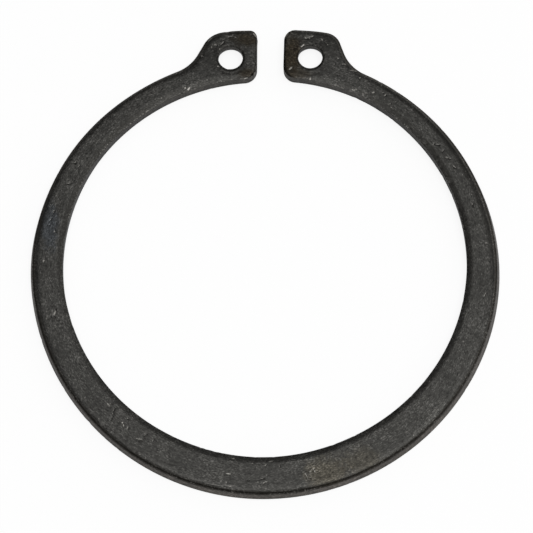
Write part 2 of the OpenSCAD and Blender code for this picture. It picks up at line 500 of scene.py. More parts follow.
@dataclass(frozen=True)
class RingOutline:
    """Outline of the ring, from the rim's back round both lugs and along the bore.

    Args:
        frame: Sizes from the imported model.
        step: Distance between points on the long stretches, in mm.
        corner_step: Distance between points in the tight corners, in mm.
        rim_draw_span: Stretch of rim, in degrees, over which it draws in towards a neck.
        bore_draw_power: How late the bore closes in on its way to a lug, where 1 is evenly.
    """

    frame: Frame
    step: float = 0.25
    corner_step: float = 0.12
    rim_draw_span: float = 34.0
    bore_draw_power: float = 1.2

    def half(self, lug: LugForm) -> tuple[np.ndarray, list[Stretch]]:
        """Walks one half of the outline, from the back of the rim to the back of the bore, on the +X side.

        Args:
            lug: Form of the lug on that half.

        Returns:
            The points, and the stretch that each belongs to.
        """
        size = self.frame
        lean = math.radians(lug.flank_lean)
        out = np.array([math.cos(lean), math.sin(lean)])
        down = np.array([math.sin(lean), -math.cos(lean)])
        aside, below = np.array([1.0, 0.0]), np.array([0.0, -1.0])
        axis = np.zeros(2)
        rim_c = np.array([0.0, size.rim_y])
        crown_c = np.array(lug.crown_at) - (0, lug.crown_r)
        flank = out @ np.array([size.hole_x, size.hole_y]) + lug.flank_wall
        gap_top = lug.gap_half + lug.gap_lean

        neck_c = self.tangent(out, down, flank + lug.neck_r, rim_c, size.rim_r - lug.rim_draw + lug.neck_r)
        shoulder_c = self.tangent(out, down, flank - lug.shoulder_r, crown_c, lug.crown_r - lug.shoulder_r)
        corner_c = self.tangent(
            aside, below, gap_top + lug.crown_corner_r, crown_c, lug.crown_r - lug.crown_corner_r
        )
        foot_c = self.tangent(
            aside,
            below,
            lug.gap_half + lug.bore_corner_r,
            axis,
            size.bore_r - lug.bore_draw + lug.bore_corner_r,
        )
        neck_turn = direction(neck_c - rim_c)
        shoulder_turn = direction(shoulder_c - crown_c)
        corner_turn = direction(corner_c - crown_c)
        foot_turn = direction(foot_c)

        runs = {
            Stretch.RIM: self.rim(lug, neck_turn),
            Stretch.NECK: arc(neck_c, lug.neck_r, neck_turn + 180, lug.flank_lean + 180, self.step),
            Stretch.FLANK: line(neck_c - out * lug.neck_r, shoulder_c + out * lug.shoulder_r, self.step),
            Stretch.SHOULDER: arc(shoulder_c, lug.shoulder_r, lug.flank_lean, shoulder_turn, self.step),
            Stretch.CROWN: arc(crown_c, lug.crown_r, shoulder_turn, corner_turn, self.step),
            Stretch.CROWN_CORNER: arc(corner_c, lug.crown_corner_r, corner_turn, 180, self.corner_step),
            Stretch.GAP: line((gap_top, corner_c[1]), (lug.gap_half, foot_c[1]), self.step),
            Stretch.BORE_CORNER: arc(foot_c, lug.bore_corner_r, 180, 180 + foot_turn, self.corner_step),
            Stretch.BORE: self.bore(lug, foot_turn),
        }
        points = np.concatenate([run[:-1] for run in runs.values()] + [runs[Stretch.BORE][-1:]])
        names = [stretch for stretch, run in runs.items() for _ in run[:-1]] + [Stretch.BORE]
        return points, names

    @staticmethod
    def tangent(
        out: np.ndarray, down: np.ndarray, away: float, centre: np.ndarray, reach: float
    ) -> np.ndarray:
        """Centre of an arc that touches a straight edge and a circle.

        Args:
            out: Direction away from the metal at the straight edge.
            down: Direction along that edge, away from the crown.
            away: Distance of the arc's centre from the shaft axis, along out.
            centre: Centre of the circle.
            reach: Distance of the arc's centre from it.

        Returns:
            The arc's centre.
        """
        up = math.sqrt(reach**2 - (away - out @ centre) ** 2) - down @ centre
        return out * away - down * up

    def rim(self, lug: LugForm, end: float) -> np.ndarray:
        """Edge of the rim, from the back of the ring up to the neck.

        Args:
            lug: Form of the lug on that half.
            end: Direction of the neck from the rim's centre, in degrees.

        Returns:
            The points, one to a row.
        """
        size = self.frame
        centre = np.array([0.0, size.rim_y])
        rim = arc(centre, 1.0, -90, end, self.step / size.rim_r)
        turn = np.degrees(np.arctan2(rim[:, 1] - centre[1], rim[:, 0]))
        draw = lug.rim_draw * smooth((turn - end + self.rim_draw_span) / self.rim_draw_span)
        # Where the wall spreads more, its upper edge draws in and its foot keeps its place
        drift = self.drift(turn, lug.side, RIM_DRIFTS) - self.drift(turn, lug.side, SPREAD_DRIFTS)
        return centre + (rim - centre) * (size.rim_r - draw + drift)[:, None]

    def bore(self, lug: LugForm, start: float) -> np.ndarray:
        """Edge of the bore, from beneath the lug to the back of the ring.

        Args:
            lug: Form of the lug on that half.
            start: Direction from the shaft axis at which the edge begins, in degrees.

        Returns:
            The points, one to a row.
        """
        size = self.frame
        bore = arc((0, 0), 1.0, start, -90, self.step / size.bore_r)
        turn = np.degrees(np.arctan2(bore[:, 1], bore[:, 0]))
        share = np.clip((turn - lug.bore_draw_from) / (start - lug.bore_draw_from), 0, 1)
        draw = lug.bore_draw * share**self.bore_draw_power
        return bore * (size.bore_r - draw + self.drift(turn, lug.side, BORE_DRIFTS))[:, None]

    @staticmethod
    def drift(turn: np.ndarray, side: Side, drifts: Iterable[Drift]) -> np.ndarray:
        """Departure of an edge from its circle.

        Args:
            turn: Directions from the shaft axis on the +X side, in degrees.
            side: The half of the ring that is being drawn.
            drifts: The stretches where the edge departs.

        Returns:
            Growth of the radius in each direction, in mm.
        """
        real = turn if side is Side.RIGHT else 180 - turn
        total = np.zeros_like(turn)
        for drift in drifts:
            away = np.abs((real - drift.towards + 180) % 360 - 180)
            total += drift.amount * smooth(1 - away / drift.reach)
        return total

    def loop(self) -> Loop:
        """Joins both halves into the closed outline.

        Returns:
            The outline, with its roundings eased from one stretch to the next.
        """
        right, right_names = self.half(LUGS[0])
        left, left_names = self.half(LUGS[1])
        left = left[::-1] * (-1, 1)
        points = np.concatenate([right, left[1:-1]])
        names = right_names + left_names[::-1][1:-1]
        ahead = np.roll(points, -1, 0) - np.roll(points, 1, 0)
        ahead /= np.linalg.norm(ahead, axis=1)[:, None]
        outward = np.stack([ahead[:, 1], -ahead[:, 0]], 1)
        width = self.eased(points, np.array([ROLLS[name].width for name in names]))
        depth = self.eased(points, np.array([ROLLS[name].depth for name in names]))
        spread = self.eased(points, np.array([SPREADS.get(name, WALL_SPREAD) for name in names]))
        turn = np.degrees(np.arctan2(points[:, 1], points[:, 0]))
        on_rim = np.array([name is Stretch.RIM for name in names])
        spread += on_rim * self.drift(turn, Side.RIGHT, SPREAD_DRIFTS)
        width += on_rim * self.drift(turn, Side.RIGHT, ROLL_DRIFTS)
        return Loop(points, outward, width, depth, -spread)

    @staticmethod
    def eased(points: np.ndarray, values: np.ndarray, reach: float = 0.7) -> np.ndarray:
        """Eases values along a closed edge.

        Args:
            points: Points of the edge.
            values: Value at each point.
            reach: Distance along the edge over which values ease into each other, in mm.

        Returns:
            The eased value at each point.
        """
        gaps = np.linalg.norm(np.roll(points, -1, 0) - points, axis=1)
        station = np.concatenate([[0], np.cumsum(gaps)])
        around = np.abs(station[:-1, None] - station[None, :-1])
        around = np.minimum(around, station[-1] - around)
        weight = np.exp(-((around / reach) ** 2)) * gaps[None, :]
        return weight @ values / weight.sum(1)


@dataclass(frozen=True)
class PlierHole:
    """Edge of one plier hole, in mm.

    Args:
        frame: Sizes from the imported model.
        lug: Form of the lug that it pierces.
        growth: Amount by which the real hole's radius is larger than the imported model's.
        flare: Amount by which the torn lower part widens.
        count: Number of points round the hole.
    """

    frame: Frame
    lug: LugForm
    growth: float = 0.03
    flare: float = 0.2
    count: int = 88

    def loop(self) -> Loop:
        """Draws the edge of the hole, walked so that the metal is on its left.

        Returns:
            The edge.
        """
        centre = (self.lug.side.value * self.frame.hole_x, self.frame.hole_y + self.lug.hole_lift)
        turn = -np.linspace(0, 2 * math.pi, self.count, endpoint=False)
        away = np.stack([np.cos(turn), np.sin(turn)], 1)
        same = np.ones(self.count)
        return Loop(
            np.array(centre) + (self.frame.hole_r + self.growth) * away,
            -away,
            same * HOLE_ROLL.width,
            same * HOLE_ROLL.depth,
            same * self.flare,
        )


@dataclass
class PlanPoints:
    """Points of the plan and what is known about each.

    Args:
        xy: Places in the plan, in mm.
        inset: Distance from the nearest edge, in mm.
        outward: Direction away from the metal at that edge.
        roll_width: Width of that edge's rounding.
        roll_depth: Depth of that edge's rounding.
        tear: Amount by which that edge's torn wall draws back.
    """

    xy: np.ndarray
    inset: np.ndarray
    outward: np.ndarray
    roll_width: np.ndarray
    roll_depth: np.ndarray
    tear: np.ndarray


@dataclass(frozen=True)
class RingPlan:
    """Flat plan of the ring as a fine mesh, with its edge distances and marks as attributes.

    Args:
        frame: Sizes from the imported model.
        rows: Shares of the rounding's width at which a row of points follows each edge.
        spacing: Distance between points inside the rows, in mm.
        margin: Least distance of those points from the rows, in mm.
        mark_step: Distance between points along a mark, in mm.
        mark_lanes: Places of the lanes of points beside a mark's middle line, as shares of its half width.
        mark_spacing: Distance that tells marks' points apart, in mm.
        mark_margin: Least distance of marks' points from the rows, in mm.
        mark_detail: Number of points on a mark's middle line that its strength is measured from.
        mark_fade: Distance from that line at which a mark ends, as a share of its half width.
        slack: Distance under which two points of the plan count as one, in mm.
    """

    frame: Frame
    rows: tuple[float, ...] = (
        0, 0.025, 0.05, 0.08, 0.12, 0.16, 0.2, 0.25, 0.31, 0.4, 0.55, 0.72, 0.86, 1.0, 1.2
    )
    spacing: float = 0.3
    margin: float = 0.2
    mark_step: float = 0.11
    mark_lanes: tuple[float, ...] = (-1.1, -0.4, 0.4, 1.1)
    mark_spacing: float = 0.05
    mark_margin: float = 0.06
    mark_detail: int = 24
    mark_fade: float = 1.35
    slack: float = 1e-6

    def edge_rows(self, loop: Loop) -> PlanPoints:
        """Rows of points that follow an edge, from the edge inwards.

        Args:
            loop: The edge.

        Returns:
            The points, row after row.
        """
        rows = np.array(self.rows)
        inset = rows[:, None] * loop.roll_width[None, :]
        xy = loop.points[None] - loop.outward[None] * inset[..., None]
        many = len(rows)
        return PlanPoints(
            xy.reshape(-1, 2),
            inset.reshape(-1),
            np.tile(loop.outward, (many, 1)),
            np.tile(loop.roll_width, many),
            np.tile(loop.roll_depth, many),
            np.tile(loop.tear, many),
        )

    def row_faces(self, count: int, first: int) -> list[tuple[int, int, int, int]]:
        """Faces between an edge's rows.

        Args:
            count: Number of points in a row.
            first: Number of the first row's first point.

        Returns:
            The faces, each with its corners in counter-clockwise order.
        """
        faces = []
        for row in range(len(self.rows) - 1):
            here = first + row * count
            for i in range(count):
                j = (i + 1) % count
                faces.append((here + i, here + j, here + count + j, here + count + i))
        return faces

    @staticmethod
    def inside(points: np.ndarray, edges: list[np.ndarray]) -> np.ndarray:
        """Whether points lie in the metal, by counting the edges that a ray crosses.

        Args:
            points: Points to test.
            edges: Closed polygons: the outline and the holes.

        Returns:
            True for each point in the metal.
        """
        crossings = np.zeros(len(points), int)
        for polygon in edges:
            a, b = polygon, np.roll(polygon, -1, 0)
            for (ax, ay), (bx, by) in zip(a, b):
                if ay == by:
                    continue
                spans = (ay > points[:, 1]) != (by > points[:, 1])
                reach = ax + (points[:, 1] - ay) * (bx - ax) / (by - ay)
                crossings += spans & (points[:, 0] < reach)
        return crossings % 2 == 1

    def grid(self) -> np.ndarray:
        """Lays a triangular grid over the whole plan.

        Returns:
            The grid's points, one to a row.
        """
        half = self.frame.rim_r + self.spacing
        rise = self.spacing * math.sqrt(3) / 2
        rows = []
        for i, y in enumerate(np.arange(self.frame.rim_y - half, LUGS[0].crown_at[1] + rise, rise)):
            x = np.arange(-half, half, self.spacing) + (i % 2) * self.spacing / 2
            rows.append(np.stack([x, np.full_like(x, y)], 1))
        return np.concatenate(rows)

    @staticmethod
    def mark_path(mark: Mark, count: int) -> np.ndarray:
        """Middle line of a mark.

        Args:
            mark: The mark.
            count: Number of points on the line.

        Returns:
            The points, one to a row.
        """
        turn = math.radians(mark.turn)
        along = np.array([math.cos(turn), math.sin(turn)])
        across = np.array([-along[1], along[0]])
        share = np.linspace(-1, 1, count)[:, None]
        return np.array(mark.at) + along * share * mark.length / 2 + across * mark.bow * (1 - share**2)

    def mark_points(self) -> np.ndarray:
        """Lays extra points along every mark, so that the mesh can follow it.

        Returns:
            The points, one to a row.
        """
        found = []
        for mark in MARKS:
            turn = math.radians(mark.turn + 90)
            across = np.array([math.cos(turn), math.sin(turn)]) * mark.width
            path = self.mark_path(mark, max(3, math.ceil(mark.length / self.mark_step) + 1))
            found += [path + across * lane for lane in self.mark_lanes]
        return np.concatenate(found)

    @staticmethod
    def near(points: np.ndarray, others: np.ndarray) -> np.ndarray:
        """Finds the nearest of some other points to each point.

        Args:
            points: Points to measure from.
            others: Points to measure to.

        Returns:
            Rows of the nearest point's number and its distance.
        """
        tree = kdtree.KDTree(len(others))
        for i, (x, y) in enumerate(others):
            tree.insert((x, y, 0), i)
        tree.balance()
        found = [tree.find((x, y, 0)) for x, y in points]
        return np.array([(number, gap) for _, number, gap in found])

    @staticmethod
    def thinned(points: np.ndarray, side: float) -> np.ndarray:
        """Keeps the first point in each cell of a square grid.

        Args:
            points: Points to thin.
            side: Length of a cell's sides, in mm.

        Returns:
            The points that are left.
        """
        kept: dict[tuple[int, int], np.ndarray] = {}
        for point in points:
            kept.setdefault(tuple(np.floor(point / side).astype(int)), point)
        return np.array(list(kept.values()))

    def build(self) -> bpy.types.Object:
        """Makes the plan as a flat mesh object.

        Returns:
            The object, with attributes for the pressing and the finish.
        """
        loops = [RingOutline(self.frame).loop()] + [PlierHole(self.frame, lug).loop() for lug in LUGS]
        parts = [self.edge_rows(loop) for loop in loops]
        faces: list[tuple[int, ...]] = []
        first = 0
        inner_rings = []
        for loop, part in zip(loops, parts):
            count = len(loop.points)
            faces += self.row_faces(count, first)
            last = first + (len(self.rows) - 1) * count
            inner_rings.append(np.arange(last, last + count))
            first += len(part.xy)
        rows_xy = np.concatenate([part.xy for part in parts])
        middle = self.middle([rows_xy[ring] for ring in inner_rings])
        faces += self.filled(rows_xy, inner_rings, middle)

        nearest = self.near(middle, np.concatenate([loop.points for loop in loops]))
        owner = nearest[:, 0].astype(int)
        joined = {
            name: np.concatenate([getattr(loop, name) for loop in loops])[owner]
            for name in ("outward", "roll_width", "roll_depth", "tear")
        }
        parts.append(PlanPoints(middle, nearest[:, 1], **joined))
        return self.mesh(np.concatenate([rows_xy, middle]), faces, parts)

    def middle(self, polygons: list[np.ndarray]) -> np.ndarray:
        """Lays the points inside the edges' rows: those of the marks, and a grid between them.

        Args:
            polygons: The innermost row round each edge.

        Returns:
            The points, one to a row.
        """
        fence = np.concatenate(polygons)
        marks = self.thinned(self.mark_points(), self.mark_spacing)
        marks = marks[self.inside(marks, polygons)]
        marks = marks[self.near(marks, fence)[:, 1] > self.mark_margin]
        grid = self.grid()
        grid = grid[self.inside(grid, polygons)]
        grid = grid[self.near(grid, fence)[:, 1] > self.margin]
        grid = grid[self.near(grid, marks)[:, 1] > self.margin / 2]
        return np.concatenate([marks, grid])

    def filled(
        self, rows_xy: np.ndarray, rings: list[np.ndarray], middle: np.ndarray
    ) -> list[tuple[int, ...]]:
        """Triangles that fill the plan inside the edges' rows.

        Args:
            rows_xy: Points of all rows.
            rings: Numbers of the innermost points round each edge.
            middle: Points inside the rows.

        Returns:
            The triangles, with the points inside the rows numbered after those of the rows.
        """
        numbers = np.concatenate(rings + [len(rows_xy) + np.arange(len(middle))])
        polygons = [rows_xy[ring] for ring in rings]
        points = np.concatenate(polygons + [middle])
        edges = []
        first = 0
        for ring in rings:
            count = len(ring)
            edges += [(first + i, first + (i + 1) % count) for i in range(count)]
            first += count
        outcome = geometry.delaunay_2d_cdt([Vector(p) for p in points], edges, [], 0, self.slack)
        triangles = np.array([face for face in outcome[2] if len(face) == 3])
        triangles = triangles[self.inside(points[triangles].mean(1), polygons)]
        a, b, c = (points[triangles[:, i]] for i in range(3))
        turn = (b[:, 0] - a[:, 0]) * (c[:, 1] - a[:, 1]) - (b[:, 1] - a[:, 1]) * (c[:, 0] - a[:, 0])
        triangles[turn < 0] = triangles[turn < 0][:, ::-1]
        return [tuple(numbers[list(face)]) for face in triangles]

    def mesh(
        self, xy: np.ndarray, faces: list[tuple[int, ...]], parts: list[PlanPoints]
    ) -> bpy.types.Object:
        """Turns the plan's points and faces into an object.

        Args:
            xy: Places of all points.
            faces: Corners of all faces.
            parts: What is known about the points, in the same order.

        Returns:
            The object.
        """
        plan = bpy.data.meshes.new("ring_plan")
        flat = np.concatenate([xy * MM, np.zeros((len(xy), 1))], 1)
        plan.from_pydata(flat.tolist(), [], [[int(i) for i in face] for face in faces])
        values = {
            name: np.concatenate([getattr(part, name) for part in parts]) * MM
            for name in ("inset", "roll_width", "roll_depth", "tear")
        }
        values["bare"], values["scar"] = self.marked(xy)
        for name, value in values.items():
            plan.attributes.new(name, "FLOAT", "POINT").data.foreach_set("value", value.astype(np.float32))
        outward = np.concatenate([part.outward for part in parts])
        outward = np.concatenate([outward, np.zeros((len(xy), 1))], 1)
        directions = plan.attributes.new("outward", "FLOAT_VECTOR", "POINT").data
        directions.foreach_set("vector", outward.astype(np.float32).ravel())
        made = bpy.data.objects.new("ring_plan", plan)
        bpy.context.scene.collection.objects.link(made)
        log.info("plan: %d points, %d faces", len(xy), len(faces))
        return made

    def marked(self, xy: np.ndarray) -> tuple[np.ndarray, np.ndarray]:
        """Works out how the marks change each point of the front face.

        Args:
            xy: Places of all points.

        Returns:
            How bare each point is, and how deep it lies, in metres.
        """
        bare = np.zeros(len(xy))
        scar = np.zeros(len(xy))
        for mark in MARKS:
            close = np.nonzero(np.linalg.norm(xy - mark.at, axis=1) < mark.length + 3 * mark.width)[0]
            path = self.mark_path(mark, self.mark_detail)
            gap = np.linalg.norm(xy[close][:, None] - path[None], axis=2)
            share = smooth(self.mark_fade - gap.min(1) / mark.width)
            stronger = np.abs(mark.bare) * share > np.abs(bare[close])
            bare[close] = np.where(stronger, mark.bare * share, bare[close])
            scar[close] = np.maximum(scar[close], mark.depth * share)
        return bare, scar * MM


class Wiring:
    """Adds nodes to one node tree and links them."""

    def __init__(self, tree: bpy.types.NodeTree) -> None:
        """Keeps the tree that the nodes go into."""
        self.tree = tree

    def node(self, kind: str, inputs: Optional[dict[Any, Any]] = None, **settings: Any) -> bpy.types.Node:
        """Adds a node.

        Args:
            kind: Blender's name for the kind of node.
            inputs: Values or sockets for its inputs, by name or number.
            settings: Its own settings.

        Returns:
            The node.
        """
        made = self.tree.nodes.new(kind)
        for name, value in settings.items():
            setattr(made, name, value)
        for key, value in (inputs or {}).items():
            self.feed(made.inputs[key], value)
        return made

    def feed(self, socket: bpy.types.NodeSocket, value: Any) -> None:
        """Gives an input a value, or links it to another socket.

        Args:
            socket: The input.
            value: The value or the socket.
        """
        if isinstance(value, bpy.types.NodeSocket):
            self.tree.links.new(value, socket)
        else:
            socket.default_value = value

    def math(self, operation: str, *terms: Any, clamp: bool = False) -> bpy.types.NodeSocket:
        """Adds a Math node and returns its result."""
        made = self.node("ShaderNodeMath", dict(enumerate(terms)), operation=operation, use_clamp=clamp)
        return made.outputs[0]

    def times(self, first: Any, *factors: Any, clamp: bool = False) -> Any:
        """Multiplies values, from the first to the last.

        Args:
            first: The first value.
            factors: The values that it is multiplied by, in turn.
            clamp: Whether each product is kept between 0 and 1.

        Returns:
            The product.
        """
        for factor in factors:
            first = self.math("MULTIPLY", first, factor, clamp=clamp)
        return first

    def plus(self, one: Any, other: Any) -> bpy.types.NodeSocket:
        """Adds two values."""
        return self.math("ADD", one, other)

    def less(self, value: Any, taken: Any) -> bpy.types.NodeSocket:
        """Takes one value from another."""
        return self.math("SUBTRACT", value, taken)

    def over(self, value: Any, divisor: Any, clamp: bool = False) -> bpy.types.NodeSocket:
        """Divides a value by another."""
        return self.math("DIVIDE", value, divisor, clamp=clamp)

    def rest(self, share: Any) -> bpy.types.NodeSocket:
        """Gives what a share leaves of 1."""
        return self.math("SUBTRACT", 1.0, share)

    def scaled(self, value: Any, factor: Any, start: Any) -> bpy.types.NodeSocket:
        """Multiplies a value and adds the result to a start."""
        return self.math("MULTIPLY_ADD", value, factor, start)

    def vector(self, operation: str, *terms: Any) -> bpy.types.NodeSocket:
        """Adds a Vector Math node and returns its vector."""
        return self.node("ShaderNodeVectorMath", dict(enumerate(terms)), operation=operation).outputs[0]

    def stretched(self, vector: Any, scale: Any) -> bpy.types.NodeSocket:
        """Multiplies a vector by one value."""
        return self.node("ShaderNodeVectorMath", {0: vector, "Scale": scale}, operation="SCALE").outputs[0]

    def length(self, vector: Any) -> bpy.types.NodeSocket:
        """Measures a vector."""
        return self.node("ShaderNodeVectorMath", {0: vector}, operation="LENGTH").outputs["Value"]

    def axes(self, vector: Any) -> Any:
        """Splits a vector into its X, Y and Z sockets."""
        return self.node("ShaderNodeSeparateXYZ", {0: vector}).outputs

    def joined(self, **axes: Any) -> bpy.types.NodeSocket:
        """Joins values for X, Y and Z into a vector."""
        return self.node("ShaderNodeCombineXYZ", axes).outputs[0]

    def ramp(self, value: Any, low: float, high: float) -> bpy.types.NodeSocket:
        """Eases a value from 0 at low to 1 at high."""
        span = {"Value": value, "From Min": low, "From Max": high}
        return self.node("ShaderNodeMapRange", span, interpolation_type="SMOOTHSTEP").outputs[0]

    def noise(self, place: Any, scale: Any, detail: float = 2.0, rough: float = 0.5) -> bpy.types.NodeSocket:
        """Adds a Noise Texture and returns its value."""
        inputs = {"Vector": place, "Scale": scale, "Detail": detail, "Roughness": rough}
        return self.node("ShaderNodeTexNoise", inputs).outputs[0]

    def mix(self, share: Any, one: Any, other: Any, blend: str = "MIX") -> bpy.types.NodeSocket:
        """Adds a colour Mix node and returns its colour."""
        made = self.node("ShaderNodeMix", {0: share, 6: one, 7: other}, data_type="RGBA", blend_type=blend)
        return made.outputs[2]

    def tinted(self, colour: Colour, tone: Any) -> bpy.types.NodeSocket:
        """Multiplies a plain colour by a tone."""
        return self.mix(1.0, (*colour, 1), tone, "MULTIPLY")

    def attribute(self, name: str, kind: str = "FLOAT") -> bpy.types.NodeSocket:
        """Reads a named attribute of the geometry."""
        made = self.node("GeometryNodeInputNamedAttribute", {"Name": name}, data_type=kind)
        return made.outputs["Attribute"]

    def store(self, shape: Any, name: str, value: Any) -> bpy.types.NodeSocket:
        """Stores a value at each point of the geometry."""
        inputs = {"Geometry": shape, "Name": name, "Value": value}
        made = self.node("GeometryNodeStoreNamedAttribute", inputs, data_type="FLOAT", domain="POINT")
        return made.outputs["Geometry"]

    def shaded(self, shape: Any, chosen: Any, is_smooth: bool, domain: str) -> bpy.types.NodeSocket:
        """Sets how the chosen faces or edges are shaded."""
        inputs = {0: shape, 1: chosen, 2: is_smooth}
        return self.node("GeometryNodeSetShadeSmooth", inputs, domain=domain).outputs[0]

    def group(self, tree: bpy.types.NodeTree, inputs: dict[str, Any], label: str = "") -> Any:
        """Places a shader node group with its own values.

        Args:
            tree: The group.
            inputs: Values or sockets for its inputs, by name.
            label: What this use of the group is for.

        Returns:
            The group's outputs.
        """
        made = self.node("ShaderNodeGroup", node_tree=tree, label=label)
        for name, value in inputs.items():
            self.feed(made.inputs[name], value)
        return made.outputs


@dataclass(frozen=True)
class Pressing:
    """How the press turns the flat plan into the ring, in mm.

    Args:
        wall_rows: Rows of faces down the wall.
        tear_height: Height of the torn part of the wall above the back face.
        tear_reach: Distance over which the back face follows the torn wall inwards.
        tear_rough: Roughness of the torn wall.
        tear_fade: Share of the torn part's height over which its roughness begins.
        tear_grain: Scale of that roughness, in turns to the metre.
        tear_stretch: Share of that scale along X, Y and Z.
        edge_break: Rounding of the back edges.
        swell: Unevenness of the front face.
        swell_grain: Scale of that unevenness, in turns to the metre.
        inner_power: How fast the rounding of an edge inside the ring falls away.
        dents: Dents per square millimetre near the edges.
        dent_band: Width of the band along the edges that dents fall in.
        dent_reach: Radius of the largest dent.
        dent_least: Radius of the smallest dent, as a share of the largest.
        dent_depth: Depth of the dents.
        sharp: Angle between two faces, in degrees, from which their edge is drawn sharp.
        level_slack: How far from 0 and 1 the levels of the back and front faces may lie.
        merge: Distance within which the slab's points are joined, in metres.
        seed: Seed of the random places.
    """

    wall_rows: int = 10
    tear_height: float = 0.9
    tear_reach: float = 1.2
    tear_rough: float = 0.03
    tear_fade: float = 0.2
    tear_grain: float = 2200.0
    tear_stretch: tuple[float, float, float] = (1.0, 1.0, 0.35)
    edge_break: float = 0.03
    swell: float = 0.012
    swell_grain: float = 170.0
    inner_power: float = 1.5
    dents: float = 0.16
    dent_band: float = 0.6
    dent_reach: float = 0.5
    dent_least: float = 0.35
    dent_depth: float = 0.05
    sharp: float = 48.0
    level_slack: float = 0.001
    merge: float = 1e-7
    seed: int = 7

    # Depth of an outside edge's rounding, as a share of the whole, by share of the way onto the face
    ROLL_CURVE = (
        (0.0, 1.0),
        (0.025, 0.74),
        (0.074, 0.54),
        (0.146, 0.39),
        (0.223, 0.28),
        (0.31, 0.2),
        (0.42, 0.12),
        (0.56, 0.055),
        (0.74, 0.015),
        (1.0, 0.0),
    )

    def inputs(self, thickness: float, finish: bpy.types.Material) -> dict[str, tuple[str, Any]]:
        """Names the inputs of the node tree.

        Args:
            thickness: Thickness of the strip, in mm.
            finish: Material of the ring.

        Returns:
            Kind and value of each input.
        """
        return {
            "Thickness": ("Float", thickness * MM),
            "Wall Rows": ("Int", self.wall_rows),
            "Tear Height": ("Float", self.tear_height * MM),
            "Tear Reach": ("Float", self.tear_reach * MM),
            "Tear Roughness": ("Float", self.tear_rough * MM),
            "Edge Break": ("Float", self.edge_break * MM),
            "Swell": ("Float", self.swell * MM),
            "Dent Density": ("Float", self.dents / MM**2),
            "Dent Reach": ("Float", self.dent_reach * MM),
            "Dent Depth": ("Float", self.dent_depth * MM),
            "Seed": ("Int", self.seed),
            "Finish": ("Material", finish),
        }

    def tree(self, inputs: dict[str, tuple[str, Any]]) -> bpy.types.GeometryNodeTree:
        """Builds the node tree that presses a plan.

        Args:
            inputs: Kind and value of each named input.

        Returns:
            The tree.
        """
        tree = bpy.data.node_groups.new("Press The Plan", "GeometryNodeTree")
        tree.interface.new_socket("Geometry", in_out="INPUT", socket_type="NodeSocketGeometry")
        for name, (kind, _) in inputs.items():
            tree.interface.new_socket(name, in_out="INPUT", socket_type=f"NodeSocket{kind}")
        tree.interface.new_socket("Geometry", in_out="OUTPUT", socket_type="NodeSocketGeometry")
        wire = Wiring(tree)
        given = wire.node("NodeGroupInput").outputs
        dented = self.dented(wire, given, self.shaped(wire, given, self.raised(wire, given)))
        smoothed = wire.shaded(dented, True, True, "FACE")
        angle = wire.node("GeometryNodeInputMeshEdgeAngle").outputs[0]
        is_sharp = wire.math("GREATER_THAN", angle, math.radians(self.sharp))
        edged = wire.shaded(smoothed, is_sharp, False, "EDGE")
        real = wire.node("GeometryNodeRealizeInstances", {0: edged}).outputs[0]
        dressed = wire.node("GeometryNodeSetMaterial", {"Geometry": real, "Material": given["Finish"]})
        wire.node("NodeGroupOutput", {0: dressed.outputs[0]})
        return tree

    def raised(self, wire: Wiring, given: Any) -> bpy.types.NodeSocket:
        """Raises the plan into a closed slab, row by row, and notes each point's level from back to front.

        Args:
            wire: The tree's wiring.
            given: The tree's inputs.

        Returns:
            The slab.
        """
        begin = wire.node("GeometryNodeRepeatInput")
        end = wire.node("GeometryNodeRepeatOutput")
        begin.pair_with_output(end)
        wire.feed(begin.inputs["Iterations"], given["Wall Rows"])
        wire.feed(begin.inputs["Geometry"], given["Geometry"])
        upward = wire.axes(wire.node("GeometryNodeInputNormal").outputs[0])["Z"]
        row = wire.node(
            "GeometryNodeExtrudeMesh",
            {
                "Mesh": begin.outputs["Geometry"],
                "Selection": wire.math("GREATER_THAN", upward, 0.5),
                "Offset": (0, 0, 1),
                "Offset Scale": wire.over(given["Thickness"], given["Wall Rows"]),
                "Individual": False,
            },
            mode="FACES",
        )
        wire.feed(end.inputs["Geometry"], row.outputs["Mesh"])
        back = wire.node("GeometryNodeFlipFaces", {"Mesh": given["Geometry"]})
        both = wire.node("GeometryNodeJoinGeometry")
        wire.feed(both.inputs[0], back.outputs[0])
        wire.feed(both.inputs[0], end.outputs["Geometry"])
        merged = {"Geometry": both.outputs[0], "Distance": self.merge}
        closed = wire.node("GeometryNodeMergeByDistance", merged).outputs[0]
        height = wire.axes(wire.node("GeometryNodeInputPosition").outputs[0])["Z"]
        return wire.store(closed, "level", wire.over(height, given["Thickness"]))

    def shaped(self, wire: Wiring, given: Any, slab: bpy.types.NodeSocket) -> bpy.types.NodeSocket:
        """Gives the slab its rounded front edges, torn wall, broken back edges and marks.

        Args:
            wire: The tree's wiring.
            given: The tree's inputs.
            slab: The plain slab.

        Returns:
            The pressed ring.
        """
        place = wire.node("GeometryNodeInputPosition").outputs[0]
        height = self.height(wire, given, place)
        back = wire.times(self.drawn(wire, given, place, height), -1.0)
        moved = wire.stretched(wire.attribute("outward", "FLOAT_VECTOR"), back)
        flat = wire.vector("MULTIPLY", place, (1.0, 1.0, 0.0))
        placed = wire.vector("ADD", wire.vector("ADD", flat, moved), wire.joined(Z=height))
        return wire.node("GeometryNodeSetPosition", {"Geometry": slab, "Position": placed}).outputs[0]

